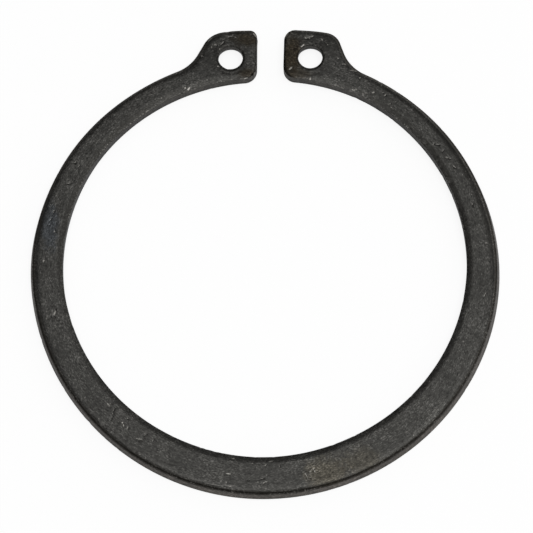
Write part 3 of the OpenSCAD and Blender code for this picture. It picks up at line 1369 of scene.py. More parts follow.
    def height(self, wire: Wiring, given: Any, place: Any) -> bpy.types.NodeSocket:
        """Works out the height of each point above the floor.

        Args:
            wire: The tree's wiring.
            given: The tree's inputs.
            place: Place of the point.

        Returns:
            The height.
        """
        inset, level = wire.attribute("inset"), wire.attribute("level")
        share = wire.over(inset, wire.attribute("roll_width"), clamp=True)
        gentle = wire.math("POWER", wire.rest(share), self.inner_power)
        inside = wire.ramp(wire.attribute("tear"), -OUTSIDE_SPREAD * MM, -INSIDE_SPREAD * MM)
        steep = wire.times(wire.rest(inside), self.roll_curve(wire, share))
        drop = wire.times(wire.attribute("roll_depth"), wire.scaled(gentle, inside, steep))

        sink = wire.times(wire.noise(place, self.swell_grain), given["Swell"], share)
        on_front = wire.math("GREATER_THAN", level, 1 - self.level_slack)
        sink = wire.times(wire.plus(sink, wire.attribute("scar")), on_front)
        height = wire.times(level, wire.less(wire.less(given["Thickness"], drop), sink))

        on_back = wire.math("LESS_THAN", level, self.level_slack)
        broken = wire.rest(wire.over(inset, given["Edge Break"], clamp=True))
        return wire.plus(height, wire.times(broken, given["Edge Break"], on_back))

    def roll_curve(self, wire: Wiring, share: Any) -> bpy.types.NodeSocket:
        """Reads the depth of an outside edge's rounding off its curve.

        Args:
            wire: The tree's wiring.
            share: Share of the way from the wall onto the face.

        Returns:
            Share of the rounding's whole depth.
        """
        curve = wire.node("ShaderNodeFloatCurve", {"Value": share})
        points = curve.mapping.curves[0].points
        while len(points) < len(self.ROLL_CURVE):
            points.new(0.5, 0.5)
        for point, place in zip(points, self.ROLL_CURVE):
            point.location = place
            point.handle_type = "AUTO_CLAMPED"
        curve.mapping.update()
        return curve.outputs[0]

    def drawn(self, wire: Wiring, given: Any, place: Any, height: Any) -> bpy.types.NodeSocket:
        """Works out how far each point draws back into the metal, where the wall is torn or spreads.

        Args:
            wire: The tree's wiring.
            given: The tree's inputs.
            place: Place of the point in the plain slab.
            height: Height of the point above the floor.

        Returns:
            The distance, below 0 where the wall spreads.
        """
        tear = wire.attribute("tear")
        low = wire.rest(wire.over(height, given["Tear Height"], clamp=True))
        near = wire.rest(wire.over(wire.attribute("inset"), given["Tear Reach"], clamp=True))
        streak = wire.noise(wire.vector("MULTIPLY", place, self.tear_stretch), self.tear_grain, 3.0, 0.6)
        rough = wire.times(streak, given["Tear Roughness"], wire.ramp(low, 0.0, self.tear_fade))
        torn = wire.times(wire.math("MAXIMUM", tear, 0.0), low)
        lean = wire.times(wire.math("MINIMUM", tear, 0.0), wire.rest(wire.attribute("level")))
        return wire.times(wire.plus(wire.plus(torn, lean), rough), near)

    def dented(self, wire: Wiring, given: Any, shape: bpy.types.NodeSocket) -> bpy.types.NodeSocket:
        """Knocks small dents into the edges and notes how bruised each point is.

        Args:
            wire: The tree's wiring.
            given: The tree's inputs.
            shape: The pressed ring.

        Returns:
            The dented ring.
        """
        by_edge = wire.math("LESS_THAN", wire.attribute("inset"), self.dent_band * MM)
        knocks = wire.node(
            "GeometryNodeDistributePointsOnFaces",
            {"Mesh": shape, "Selection": by_edge, "Density": given["Dent Density"], "Seed": given["Seed"]},
            distribute_method="RANDOM",
        ).outputs["Points"]
        least = wire.times(given["Dent Reach"], self.dent_least)
        reach = wire.node(
            "FunctionNodeRandomValue",
            {2: least, 3: given["Dent Reach"], "Seed": given["Seed"]},
            data_type="FLOAT",
        ).outputs[1]
        knocks = wire.store(knocks, "reach", reach)
        nearest = wire.node("GeometryNodeSampleNearest", {"Geometry": knocks}, domain="POINT").outputs[0]
        sampled = wire.node(
            "GeometryNodeSampleIndex",
            {"Geometry": knocks, "Value": wire.attribute("reach"), "Index": nearest},
            data_type="FLOAT",
            domain="POINT",
        ).outputs[0]
        gap = wire.node("GeometryNodeProximity", {0: knocks}, target_element="POINTS").outputs["Distance"]
        share = wire.ramp(wire.over(gap, sampled), 1.0, 0.0)
        depth = wire.times(share, given["Dent Depth"], -1.0)
        push = wire.stretched(wire.node("GeometryNodeInputNormal").outputs[0], depth)
        noted = wire.store(shape, "bruise", share)
        return wire.node("GeometryNodeSetPosition", {"Geometry": noted, "Offset": push}).outputs[0]

    def press(self, plan: bpy.types.Object, thickness: float, finish: bpy.types.Material) -> bpy.types.Object:
        """Presses a plan into a plain mesh object.

        Args:
            plan: The flat plan, which is used up.
            thickness: Thickness of the strip, in mm.
            finish: Material of the ring.

        Returns:
            The ring, with its place in its mesh.
        """
        inputs = self.inputs(thickness, finish)
        pressing = plan.modifiers.new("Pressing", "NODES")
        pressing.node_group = self.tree(inputs)
        for item in pressing.node_group.interface.items_tree:
            if item.item_type == "SOCKET" and item.in_out == "INPUT" and item.name in inputs:
                pressing[item.identifier] = inputs[item.name][1]
        plan.update_tag()
        bpy.context.view_layer.update()
        pressed = bpy.data.meshes.new_from_object(plan.evaluated_get(bpy.context.evaluated_depsgraph_get()))
        pressed.name = "retaining_ring_pressed"
        plan.modifiers.remove(pressing)
        made = bpy.data.objects.new("pressed_retaining_ring", pressed)
        bpy.context.scene.collection.objects.link(made)
        bpy.data.objects.remove(plan)
        return made


def shader_group(
    name: str, inputs: Iterable[tuple[str, str, Any]], outputs: Iterable[tuple[str, str]]
) -> tuple[Wiring, Any]:
    """Starts a shader node group.

    Args:
        name: Name of the group.
        inputs: Name, kind and starting value of each input.
        outputs: Name and kind of each output.

    Returns:
        The wiring of the group's tree, and the sockets that hold what the group is given.
    """
    tree = bpy.data.node_groups.new(name, "ShaderNodeTree")
    for label, kind, value in inputs:
        made = tree.interface.new_socket(label, in_out="INPUT", socket_type=f"NodeSocket{kind}")
        if value is not None:
            made.default_value = value
    for label, kind in outputs:
        tree.interface.new_socket(label, in_out="OUTPUT", socket_type=f"NodeSocket{kind}")
    wire = Wiring(tree)
    return wire, wire.node("NodeGroupInput").outputs


@dataclass(frozen=True)
class OxideTone:
    """Group that mottles an oxide skin with clouds, blotches, grain and flecks, in mm.

    Args:
        layers: Name, size, share, detail and roughness of each layer, from coarse to fine.
        fleck_size: Size of the flecks.
        fleck_share: Strength of the flecks.
        bright_flecks: Span of their noise that turns bright.
        dark_flecks: Span of their noise that turns dark.
        dark_share: Strength of the dark flecks, as a share of the bright ones'.
        blotch_span: Span of the blotches over which flecks grow strong.
        blotch_gain: Factor and start of that growth.
        cloud_span: Span of the clouds over which flecks grow strong.
        cloud_gain: Factor of that growth.
        stretch: Length of the grain along the ring, as a share of its width.
        ring_radius: Radius at which the grain has its true length.
        least: Darkest tone.
        blotch_relief: Share of the blotches in the relief.
    """

    layers: tuple[tuple[str, float, float, float, float], ...] = (
        ("Cloud", 6.0, 0.14, 2.0, 0.5),
        ("Blotch", 1.3, 0.25, 4.0, 0.62),
        ("Grain", 0.34, 0.42, 3.0, 0.7),
    )
    fleck_size: float = 0.15
    fleck_share: float = 1.25
    bright_flecks: Span = (0.52, 0.74)
    dark_flecks: Span = (0.44, 0.28)
    dark_share: float = 0.4
    blotch_span: Span = (0.38, 0.62)
    blotch_gain: Span = (0.7, 0.3)
    cloud_span: Span = (0.4, 0.6)
    cloud_gain: float = 0.6
    stretch: float = 1.9
    ring_radius: float = 30.0
    least: float = 0.1
    blotch_relief: float = 0.8

    def build(self) -> bpy.types.NodeTree:
        """Builds the group.

        Returns:
            The group.
        """
        sizes = [(f"{name} Size", "Float", size) for name, size, *_ in self.layers]
        shares = [(f"{name} Share", "Float", share) for name, _, share, *_ in self.layers]
        flecks = [("Fleck Size", "Float", self.fleck_size), ("Fleck Share", "Float", self.fleck_share)]
        along = [("Stretch", "Float", self.stretch), ("Ring Radius", "Float", self.ring_radius)]
        wire, given = shader_group(
            "Oxide Tone",
            [("Place", "Vector", None)] + sizes + shares + flecks + along,
            (("Tone", "Float"), ("Relief", "Float")),
        )
        rolled = self.rolled(wire, given)
        tone: Any = 1.0
        noises = {}
        for name, _, _, detail, rough in self.layers:
            place = rolled if name == "Grain" else given["Place"]
            noises[name] = wire.noise(place, wire.over(1.0, given[f"{name} Size"]), detail, rough)
            # The noise lies mostly between 0.25 and 0.75, which this turns to -1 and 1
            swing = wire.scaled(noises[name], 4.0, -2.0)
            tone = wire.scaled(swing, given[f"{name} Share"], tone)
        fleck = wire.noise(rolled, wire.over(1.0, given["Fleck Size"]), 1.0)
        dark = wire.times(wire.ramp(fleck, *self.dark_flecks), self.dark_share)
        swing = wire.less(wire.ramp(fleck, *self.bright_flecks), dark)
        patchy = wire.scaled(wire.ramp(noises["Blotch"], *self.blotch_span), *self.blotch_gain)
        patchy = wire.scaled(wire.ramp(noises["Cloud"], *self.cloud_span), self.cloud_gain, patchy)
        tone = wire.scaled(wire.times(swing, patchy), given["Fleck Share"], tone)
        relief = wire.scaled(noises["Blotch"], self.blotch_relief, noises["Grain"])
        wire.node("NodeGroupOutput", {"Tone": wire.math("MAXIMUM", tone, self.least), "Relief": relief})
        return wire.tree

    @staticmethod
    def rolled(wire: Wiring, given: Any) -> bpy.types.NodeSocket:
        """Unrolls the ring, so that the grain can run along it.

        Args:
            wire: The group's wiring.
            given: The group's inputs.

        Returns:
            Place along the ring, from the shaft axis outwards and up, in mm.
        """
        axes = wire.axes(given["Place"])
        turn = wire.math("ARCTAN2", axes["X"], wire.times(axes["Y"], -1.0))
        around = wire.over(wire.times(turn, given["Ring Radius"]), given["Stretch"])
        radius = wire.length(wire.joined(X=axes["X"], Y=axes["Y"]))
        return wire.joined(X=around, Y=radius, Z=axes["Z"])


@dataclass(frozen=True)
class ScatteredSpecks:
    """Group that scatters small specks over a surface, in mm.

    Args:
        wobble: Scale of the raggedness of a speck's edge, in turns to the mm.
        reach: Radius of the smallest speck, as a share of the given radius.
        edge: Distances from its middle at which a speck ends and is whole, as shares of its radius.
        strength: How much stronger the strongest speck is than the weakest, and the strength of the weakest.
    """

    wobble: float = 4.0
    reach: float = 0.4
    edge: Span = (1.2, 0.5)
    strength: Span = (0.7, 0.3)

    def build(self) -> bpy.types.NodeTree:
        """Builds the group.

        Returns:
            The group.
        """
        wire, given = shader_group(
            "Scattered Specks",
            (
                ("Place", "Vector", None),
                ("Cell", "Float", 0.8),
                ("Share", "Float", 0.2),
                ("Radius", "Float", 0.15),
                ("Ragged", "Float", 0.25),
            ),
            (("Mask", "Float"),),
        )
        ragged = {"Vector": given["Place"], "Scale": self.wobble, "Detail": 1.0}
        wobble = wire.node("ShaderNodeTexNoise", ragged).outputs[1]
        wobble = wire.stretched(wire.vector("SUBTRACT", wobble, (0.5, 0.5, 0.5)), given["Ragged"])
        place = wire.vector("ADD", given["Place"], wobble)
        cells = wire.node("ShaderNodeTexVoronoi", {"Vector": place, "Scale": wire.over(1.0, given["Cell"])})
        chance, size, power = wire.node("ShaderNodeSeparateColor", {0: cells.outputs["Color"]}).outputs
        reach = wire.times(given["Radius"], wire.plus(size, self.reach))
        gap = wire.times(cells.outputs["Distance"], given["Cell"])
        spot = wire.ramp(wire.over(gap, reach), *self.edge)
        spot = wire.times(spot, wire.scaled(power, *self.strength))
        chosen = wire.math("LESS_THAN", chance, given["Share"])
        wire.node("NodeGroupOutput", {0: wire.times(chosen, spot)})
        return wire.tree


@dataclass(frozen=True)
class FineScuffs:
    """Group that draws fine straight scuffs in one direction.

    Args:
        edge: How far the noise has to rise above the threshold for a scuff to be whole.
    """

    edge: float = 0.06

    def build(self) -> bpy.types.NodeTree:
        """Builds the group.

        Returns:
            The group.
        """
        wire, given = shader_group(
            "Fine Scuffs",
            (
                ("Place", "Vector", None),
                ("Turn", "Float", 0.0),
                ("Length", "Float", 2.0),
                ("Width", "Float", 0.1),
                ("Threshold", "Float", 0.68),
            ),
            (("Mask", "Float"),),
        )
        spin = {"Vector": given["Place"], "Angle": given["Turn"]}
        turned = wire.node("ShaderNodeVectorRotate", spin).outputs[0]
        along, across = wire.over(1.0, given["Length"]), wire.over(1.0, given["Width"])
        lines = wire.noise(wire.vector("MULTIPLY", turned, wire.joined(X=along, Y=across, Z=along)), 1.0, 1.0)
        above = wire.less(lines, given["Threshold"])
        wire.node("NodeGroupOutput", {0: wire.ramp(above, 0.0, self.edge)})
        return wire.tree


@dataclass(frozen=True)
class SoftStain:
    """Group that gives a soft, ragged stain about a place.

    Args:
        detail: Detail of its raggedness.
        rough: Roughness of its raggedness.
        edge: Distances from its middle at which it ends and at which it is whole, as shares of its half size.
    """

    detail: float = 4.0
    rough: float = 0.65
    edge: Span = (1.15, 0.35)

    def build(self) -> bpy.types.NodeTree:
        """Builds the group.

        Returns:
            The group.
        """
        wire, given = shader_group(
            "Soft Stain",
            (
                ("Place", "Vector", None),
                ("Centre", "Vector", None),
                ("Half Size", "Vector", None),
                ("Raggedness", "Float", 0.7),
                ("Grain", "Float", 0.8),
            ),
            (("Mask", "Float"),),
        )
        away = wire.vector("SUBTRACT", given["Place"], given["Centre"])
        gap = wire.length(wire.vector("DIVIDE", away, given["Half Size"]))
        ragged = wire.noise(given["Place"], wire.over(1.0, given["Grain"]), self.detail, self.rough)
        swing = wire.times(wire.scaled(ragged, 2.0, -1.0), given["Raggedness"])
        wire.node("NodeGroupOutput", {0: wire.ramp(wire.plus(gap, swing), *self.edge)})
        return wire.tree


@dataclass(frozen=True)
class Stain:
    """A discoloured patch of the front face, in mm.

    Args:
        name: What the patch looks like.
        at: Middle of the patch.
        half: Half of its size along X and Y.
        colour: Linear colour that it leans to.
        strength: How far it leans to that colour, from 0 to 1.
    """

    name: str
    at: tuple[float, float]
    half: tuple[float, float]
    colour: Colour
    strength: float


BROWN = (0.03, 0.0225, 0.0125)
OLIVE = (0.1, 0.088, 0.064)
BLUE = (0.062, 0.07, 0.08)
SOOT = (0.018, 0.017, 0.015)
# Darkest colour of the painted shade in the roundings
PAINTED_SHADE = (0.016, 0.015, 0.013)
PIT = (0.006, 0.005, 0.004)

STAINS = (
    Stain("brown beside the right lug's gap", (2.97, 30.81), (1.9, 4.2), BROWN, 0.85),
    Stain("brown below the right lug's hole", (3.88, 27.92), (2.2, 0.9), BROWN, 0.6),
    Stain("brown at the left lug's gap", (-3.44, 32.99), (2.4, 1.3), BROWN, 0.75),
    Stain("brown at the left lug's foot", (-3.12, 27.89), (1.6, 0.8), BROWN, 0.7),
    Stain("soot round the left plier hole", (-5.73, 30.58), (3.4, 3.0), SOOT, 0.55),
    Stain("soot over the right crown", (6.36, 32.63), (4.0, 1.6), SOOT, 0.5),
    Stain("olive patch at the back of the rim", (9.33, -30.3), (3.6, 3.0), OLIVE, 0.5),
    Stain("olive patch beside it", (14.2, -28.4), (3.2, 2.4), OLIVE, 0.35),
    Stain("blue sheen on the left arm", (-29.82, 4.47), (1.4, 4.2), BLUE, 0.6),
)
# Height of the stains' middle, and half of their height, in mm
STAIN_HEIGHT, STAIN_HALF_HEIGHT = 2.0, 3.0


@dataclass(frozen=True)
class Reading:
    """What the finish knows about a point of the ring, as sockets.

    Args:
        place: Its place, in mm.
        x: Its place along X.
        y: Its place along Y.
        inset: Its distance from the nearest edge, in mm.
        share: The same distance as a share of that edge's rounding.
        outside: 1 where that edge lies outside the ring, and 0 where it lies inside.
        marks: How bare the drawn marks are there, below 0 in a pit.
        bruise: How bruised it is by a dent.
        on_wall: 1 on the sheared wall, and 0 on the front and back faces.
        tone: Tone of the oxide skin, about 1.
        relief: Relief of the oxide skin.
        streaks: Noise that runs down the wall.
    """

    place: Any
    x: Any
    y: Any
    inset: Any
    share: Any
    outside: Any
    marks: Any
    bruise: Any
    on_wall: Any
    tone: Any
    relief: Any
    streaks: Any


@dataclass(frozen=True)
class Specks:
    """One scattering of bright specks over the skin, in mm.

    Args:
        cell: Distance between places where a speck may lie.
        share: Share of those places that have one.
        radius: Radius of the specks.
        strength: How bare they are, from 0 to 1.
    """

    cell: float
    share: float
    radius: float
    strength: float


@dataclass(frozen=True)
class Scuffs:
    """One set of fine scuffs that all run the same way.

    Args:
        turn: Their direction, in radians.
        length: Their length, in mm.
        strength: How bare they are, from 0 to 1.
    """

    turn: float
    length: float
    strength: float


@dataclass(frozen=True)
class RoundingShade:
    """Painted shade in the roundings, which darkens them towards the wall. Spans of a rounding are shares of
    its width, and others are in mm.

    Args:
        roll_edge_shade_span: Span of an outside rounding over which the painted shade gathers towards the
            wall.
        roll_edge_shade: Strength of that painted shade.
        bore_span: Span of an inside rounding over which painted shade gathers towards the wall.
        arms_aside: Distances from the Y axis over which there is more of that painted shade.
        arms_up: Heights above the X axis over which there is more of it.
        bore_shade: How much more there is on the arms, and its strength elsewhere.
        right_aside: Places along X over which painted shade begins in the rim's rounding.
        right_up: Heights above the X axis over which it begins.
        rim_rise: Span of the rounding over which that painted shade begins.
        rim_fall: Span of the rounding over which it ends.
        rim_shade: Strength of the painted shade in the rim's rounding.
    """

    roll_edge_shade_span: Span = (0.42, 0.2)
    roll_edge_shade: float = 0.45
    bore_span: Span = (1.0, 0.7)
    arms_aside: Span = (8.0, 22.0)
    arms_up: Span = (-12.0, 4.0)
    bore_shade: Span = (0.35, 0.2)
    right_aside: Span = (10.0, 22.0)
    right_up: Span = (-14.0, 6.0)
    rim_rise: Span = (0.3, 0.5)
    rim_fall: Span = (0.95, 0.7)
    rim_shade: float = 0.5

    def laid(self, wire: Wiring, seen: Reading, colour: Any) -> bpy.types.NodeSocket:
        """Darkens the roundings with painted shade.

        Args:
            wire: The material's wiring.
            seen: What is known about the point.
            colour: Colour of the stained skin.

        Returns:
            Colour of the skin with the painted shade in its roundings.
        """
        # Painted shade in the outside rounding, darkest towards the wall
        roll_edge_shade = wire.times(wire.ramp(seen.share, *self.roll_edge_shade_span), seen.outside, self.roll_edge_shade)
        colour = wire.mix(roll_edge_shade, colour, (*BROWN, 1))
        # Painted shade in the inside rounding, stronger on the arms
        aside = wire.ramp(wire.math("ABSOLUTE", seen.x), *self.arms_aside)
        arms = wire.times(aside, wire.ramp(seen.y, *self.arms_up))
        bore = wire.times(wire.ramp(seen.share, *self.bore_span), wire.rest(seen.outside))
        bore = wire.times(bore, wire.scaled(arms, *self.bore_shade))
        # Painted shade in the middle of the rim's rounding on the right
        right = wire.times(wire.ramp(seen.x, *self.right_aside), wire.ramp(seen.y, *self.right_up))
        rim = wire.times(wire.ramp(seen.share, *self.rim_rise), wire.ramp(seen.share, *self.rim_fall))
        rim = wire.times(rim, seen.outside, wire.times(right, self.rim_shade))
        return wire.mix(wire.math("MAXIMUM", bore, rim), colour, (*PAINTED_SHADE, 1))


@dataclass(frozen=True)
class WearAndBrowHighlight:
    """Places where the oxide is rubbed off, and a painted highlight along the brow of the outside rounding.
    Strengths go from 0, whole, to 1, bare.

    Args:
        specks: The scatterings of bright specks.
        scuffs: The sets of fine scuffs.
        dot_grain: Turns to the mm of the dots of wear.
        dot_span: Span of that noise that turns to dots.
        patch_grain: Turns to the mm of the patches that the dots lie in.
        patch_span: Span of that noise that turns to patches.
        edge_span: Distances from an edge between which its dots begin, in mm.
        edge_wear: How much stronger outside edges' dots are, and the strength of inside edges'.
        brow_rise: Span of an outside rounding, as shares of its width, over which its brow begins.
        brow_fall: The same, over which its brow ends.
        brow_base: Wear and painted highlight of the brow between the dots, as a share of that in them.
        brow_wear_and_highlight: Strength of the brow's wear and painted highlight.
        break_grain: Turns to the mm, detail and roughness of the breaks in the marks' edges.
        break_swing: Factor and start of those breaks.
        mark_span: Span of a broken mark over which it turns bare.
        mark_floor: Span of a plain mark over which it begins.
        mark_wear: Strength of the marks.
        bruise_wear: Strength of the bruises.
        wall_kept: Share of the wear that a wall is spared.
    """

    specks: tuple[Specks, ...] = (Specks(0.5, 0.2, 0.09, 0.3), Specks(1.7, 0.14, 0.16, 0.28))
    scuffs: tuple[Scuffs, ...] = (Scuffs(0.3, 2.4, 0.06), Scuffs(1.1, 1.6, 0.05), Scuffs(2.3, 2.0, 0.06))
    dot_grain: float = 4.2
    dot_span: Span = (0.54, 0.68)
    patch_grain: float = 0.3
    patch_span: Span = (0.35, 0.6)
    edge_span: Span = (0.22, 0.1)
    edge_wear: Span = (0.15, 0.3)
    brow_rise: Span = (0.16, 0.26)
    brow_fall: Span = (0.3, 0.45)
    brow_base: float = 0.3
    brow_wear_and_highlight: float = 0.4
    break_grain: tuple[float, float, float] = (5.0, 2.0, 0.6)
    break_swing: Span = (1.4, -0.7)
    mark_span: Span = (0.3, 0.75)
    mark_floor: Span = (0.0, 0.15)
    mark_wear: float = 0.75
    bruise_wear: float = 0.06
    wall_kept: float = 0.8

    def mask(self, wire: Wiring, seen: Reading) -> bpy.types.NodeSocket:
        """Works out where the oxide is rubbed off, and where the brow of the outside rounding carries a
        painted highlight.

        Args:
            wire: The material's wiring.
            seen: What is known about the point.

        Returns:
            Mask from 0, whole, to 1, bare.
        """
        total = wire.plus(self.edges(wire, seen), self.marked(wire, seen))
        total = wire.scaled(seen.bruise, self.bruise_wear, total)
        tree = ScatteredSpecks().build()
        for specks in self.specks:
            inputs = {"Place": seen.place, "Cell": specks.cell, "Share": specks.share}
            inputs["Radius"] = specks.radius
            total = wire.scaled(wire.group(tree, inputs)["Mask"], specks.strength, total)
        tree = FineScuffs().build()
        for scuffs in self.scuffs:
            inputs = {"Place": seen.place, "Turn": scuffs.turn, "Length": scuffs.length}
            total = wire.scaled(wire.group(tree, inputs)["Mask"], scuffs.strength, total)
        return wire.times(total, wire.rest(wire.times(seen.on_wall, self.wall_kept)), clamp=True)

    def edges(self, wire: Wiring, seen: Reading) -> bpy.types.NodeSocket:
        """Wears dots off along the edges, and lightens the brow of the outside rounding with wear and a
        painted highlight.

        Args:
            wire: The material's wiring.
            seen: What is known about the point.

        Returns:
            Strength of that wear and painted highlight.
        """
        dots = wire.ramp(wire.noise(seen.place, self.dot_grain, 1.0), *self.dot_span)
        dots = wire.times(dots, wire.ramp(wire.noise(seen.place, self.patch_grain), *self.patch_span))
        edge = wire.times(wire.ramp(seen.inset, *self.edge_span), dots)
        edge = wire.times(edge, wire.scaled(seen.outside, *self.edge_wear))
        # The brow's light band is partly wear and partly a painted highlight
        brow = wire.less(wire.ramp(seen.share, *self.brow_rise), wire.ramp(seen.share, *self.brow_fall))
        brow = wire.times(brow, wire.plus(dots, self.brow_base), seen.outside)
        return wire.scaled(brow, self.brow_wear_and_highlight, edge)

    def marked(self, wire: Wiring, seen: Reading) -> bpy.types.NodeSocket:
        """Wears the drawn marks bare, with broken edges.

        Args:
            wire: The material's wiring.
            seen: What is known about the point.

        Returns:
            Strength of that wear.
        """
        breaks = wire.scaled(wire.noise(seen.place, *self.break_grain), *self.break_swing)
        bare = wire.plus(wire.math("MAXIMUM", seen.marks, 0.0), breaks)
        bare = wire.times(wire.ramp(bare, *self.mark_span), wire.ramp(seen.marks, *self.mark_floor))
        return wire.times(bare, self.mark_wear)


@dataclass(frozen=True)
class OxideSteel:
    """Finish of black spring steel: a thin oxide skin with painted shade in its roundings, rubbed along its
    edges, with a painted highlight along the brow of the outside rounding.

    Args:
        skin: Linear colour of the oxide.
        bare: Linear colour where the oxide is rubbed off, also used for the painted highlight along the brow
            of the outside rounding.
        wall: Linear colour of the sheared outside wall.
        inner_wall: Linear colour of the walls of the bore, the gap and the holes.
        foot_wall: The same where those walls are rubbed, on the lugs and beneath them.
        foot_span: Heights above the X axis between which the one turns to the other, in mm.
        wall_band: Level times what it leaves of 1, from the front and back faces to the wall.
        streak_scale: Turns to the mm of the wall's streaks along X, Y and Z.
        streak_tone: Factor and start of the streaks' tone.
        streak_relief: Height of the wall's streaks, as a share of the skin's relief.
        roughness: Roughness of the skin.
        rough_swing: How much the relief changes the roughness, and how far it starts below the skin's own.
        metallic: Share of metal in the skin.
        relief: Height of the skin's grain, in mm.
        rounding_shade: Painted shade in the roundings.
        wear_and_highlight: Where the oxide is rubbed off, and where the brow carries a painted highlight.
    """

    skin: Colour = (0.0645, 0.063, 0.0585)
    bare: Colour = (0.5, 0.48, 0.44)
    wall: Colour = (0.18, 0.163, 0.147)
    inner_wall: Colour = (0.07, 0.066, 0.061)
    foot_wall: Colour = (0.1, 0.093, 0.084)
    foot_span: Span = (18.0, 27.0)
    wall_band: Span = (0.0, 0.06)
    streak_scale: tuple[float, float, float] = (5.0, 5.0, 0.5)
    streak_tone: Span = (1.2, 0.4)
    streak_relief: float = 3.0
    roughness: float = 0.34
    rough_swing: Span = (0.12, 0.1)
    metallic: float = 0.9
    relief: float = 0.014
    rounding_shade: RoundingShade = field(default_factory=RoundingShade)
    wear_and_highlight: WearAndBrowHighlight = field(default_factory=WearAndBrowHighlight)

    def build(self) -> bpy.types.Material:
        """Builds the material.

        Returns:
            The material.
        """
        finish = bpy.data.materials.new("black_oxide_steel")
        finish.use_nodes = True
        finish.node_tree.nodes.clear()
        wire = Wiring(finish.node_tree)
        seen = self.reading(wire)
        colour = self.stained(wire, seen, wire.tinted(self.skin, seen.tone))
        # Painted shade in the roundings
        colour = self.rounding_shade.laid(wire, seen, colour)
        colour = wire.mix(seen.on_wall, colour, self.wall_colour(wire, seen))
        # Rubbed-off oxide, and a painted highlight along the brow of the outside rounding
        colour = wire.mix(self.wear_and_highlight.mask(wire, seen), colour, (*self.bare, 1))
        colour = wire.mix(wire.times(seen.marks, -1.0, clamp=True), colour, (*PIT, 1))
        height = wire.scaled(seen.streaks, wire.times(seen.on_wall, self.streak_relief), seen.relief)
        bump = wire.node("ShaderNodeBump", {"Strength": 1.0, "Distance": self.relief * MM, "Height": height})
        swing, below = self.rough_swing
        shader = wire.node(
            "ShaderNodeBsdfPrincipled",
            {
                "Base Color": colour,
                "Roughness": wire.scaled(seen.relief, swing, self.roughness - below),
                "Metallic": self.metallic,
                "Normal": bump.outputs[0],
            },
        )
        wire.node("ShaderNodeOutputMaterial", {"Surface": shader.outputs[0]})
        return finish

    def reading(self, wire: Wiring) -> Reading:
        """Reads what the mesh knows about each point.

        Args:
            wire: The material's wiring.

        Returns:
            The readings.
        """
        place = wire.stretched(wire.node("ShaderNodeTexCoord").outputs["Object"], 1 / MM)
        axes = wire.axes(place)
        inset, width = (wire.over(self.mesh_value(wire, name), MM) for name in ("inset", "roll_width"))
        spread = wire.over(self.mesh_value(wire, "tear"), -MM)
        level = self.mesh_value(wire, "level")
        tone = wire.group(OxideTone().build(), {"Place": place})
        return Reading(
            place=place,
            x=axes["X"],
            y=axes["Y"],
            inset=inset,
            share=wire.over(inset, width),
            outside=wire.ramp(spread, INSIDE_SPREAD, OUTSIDE_SPREAD),
            marks=self.mesh_value(wire, "bare"),
            bruise=self.mesh_value(wire, "bruise"),
            on_wall=wire.ramp(wire.times(level, wire.rest(level)), *self.wall_band),
            tone=tone["Tone"],
            relief=tone["Relief"],
            streaks=wire.noise(wire.vector("MULTIPLY", place, self.streak_scale), 1.0, 3.0, 0.6),
        )

    def stained(self, wire: Wiring, seen: Reading, colour: Any) -> Any:
        """Lays the stains over the skin.

        Args:
            wire: The material's wiring.
            seen: What is known about the point.
            colour: Colour of the skin.

        Returns:
            Colour of the stained skin.
        """
        tree = SoftStain().build()
        for patch in STAINS:
            centre, half = (*patch.at, STAIN_HEIGHT), (*patch.half, STAIN_HALF_HEIGHT)
            inputs = {"Place": seen.place, "Centre": centre, "Half Size": half}
            mask = wire.group(tree, inputs, patch.name)["Mask"]
            toned = wire.tinted(patch.colour, seen.tone)
            colour = wire.mix(wire.times(mask, patch.strength), colour, toned)
        return colour

    def wall_colour(self, wire: Wiring, seen: Reading) -> Any:
        """Works out the colour of the sheared walls.

        Args:
            wire: The material's wiring.
            seen: What is known about the point.

        Returns:
            The colour.
        """
        sheared = wire.times(wire.scaled(seen.streaks, *self.streak_tone), seen.tone)
        up = wire.ramp(seen.y, *self.foot_span)
        inner = wire.mix(up, (*self.inner_wall, 1), (*self.foot_wall, 1))
        return wire.mix(1.0, wire.mix(seen.outside, inner, (*self.wall, 1)), sheared, "MULTIPLY")

    @staticmethod
    def mesh_value(wire: Wiring, name: str) -> bpy.types.NodeSocket:
        """Reads one of the mesh's attributes."""
        return wire.node("ShaderNodeAttribute", attribute_name=name).outputs["Fac"]


@dataclass
class RetainingRing:
    """The stamped ring.

    Args:
        frame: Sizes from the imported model.
        pressing: How it is pressed.
        finish: Its finish.
    """

    frame: Frame
    pressing: Pressing = field(default_factory=Pressing)
    finish: OxideSteel = field(default_factory=OxideSteel)

    def build(self) -> bpy.types.Object:
        """Makes the ring and lets it stand for the CAD node.

        Returns:
            The ring.
        """
        plan = RingPlan(self.frame).build()
        ring = self.pressing.press(plan, self.frame.thickness, self.finish.build())
        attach(ring, BODY)
        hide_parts(NODE)
        return ring


@dataclass(frozen=True)
class SoftLamp:
    """A flat oval lamp that faces down, with an even glow, in metres.

    Args:
        name: Name of the lamp.
        at: Place of its middle.
        size: Its size along X and Y.
        glow: Brightness of its surface, where 1 is white.
    """

    name: str
    at: tuple[float, float, float]
    size: tuple[float, float]
    glow: float

    def build(self) -> bpy.types.Object:
        """Hangs the lamp.

        Returns:
            The lamp.
        """
        width, length = self.size
        area = math.pi * width * length / 4
        lamp = bpy.data.lights.new(self.name, "AREA")
        lamp.shape = "ELLIPSE"
        lamp.size, lamp.size_y = width, length
        # A flat lamp spreads its power over its area and over pi of solid angle
        lamp.energy = self.glow * math.pi * area
        made = bpy.data.objects.new(self.name, lamp)
        made.location = self.at
        bpy.context.scene.collection.objects.link(made)
        return made


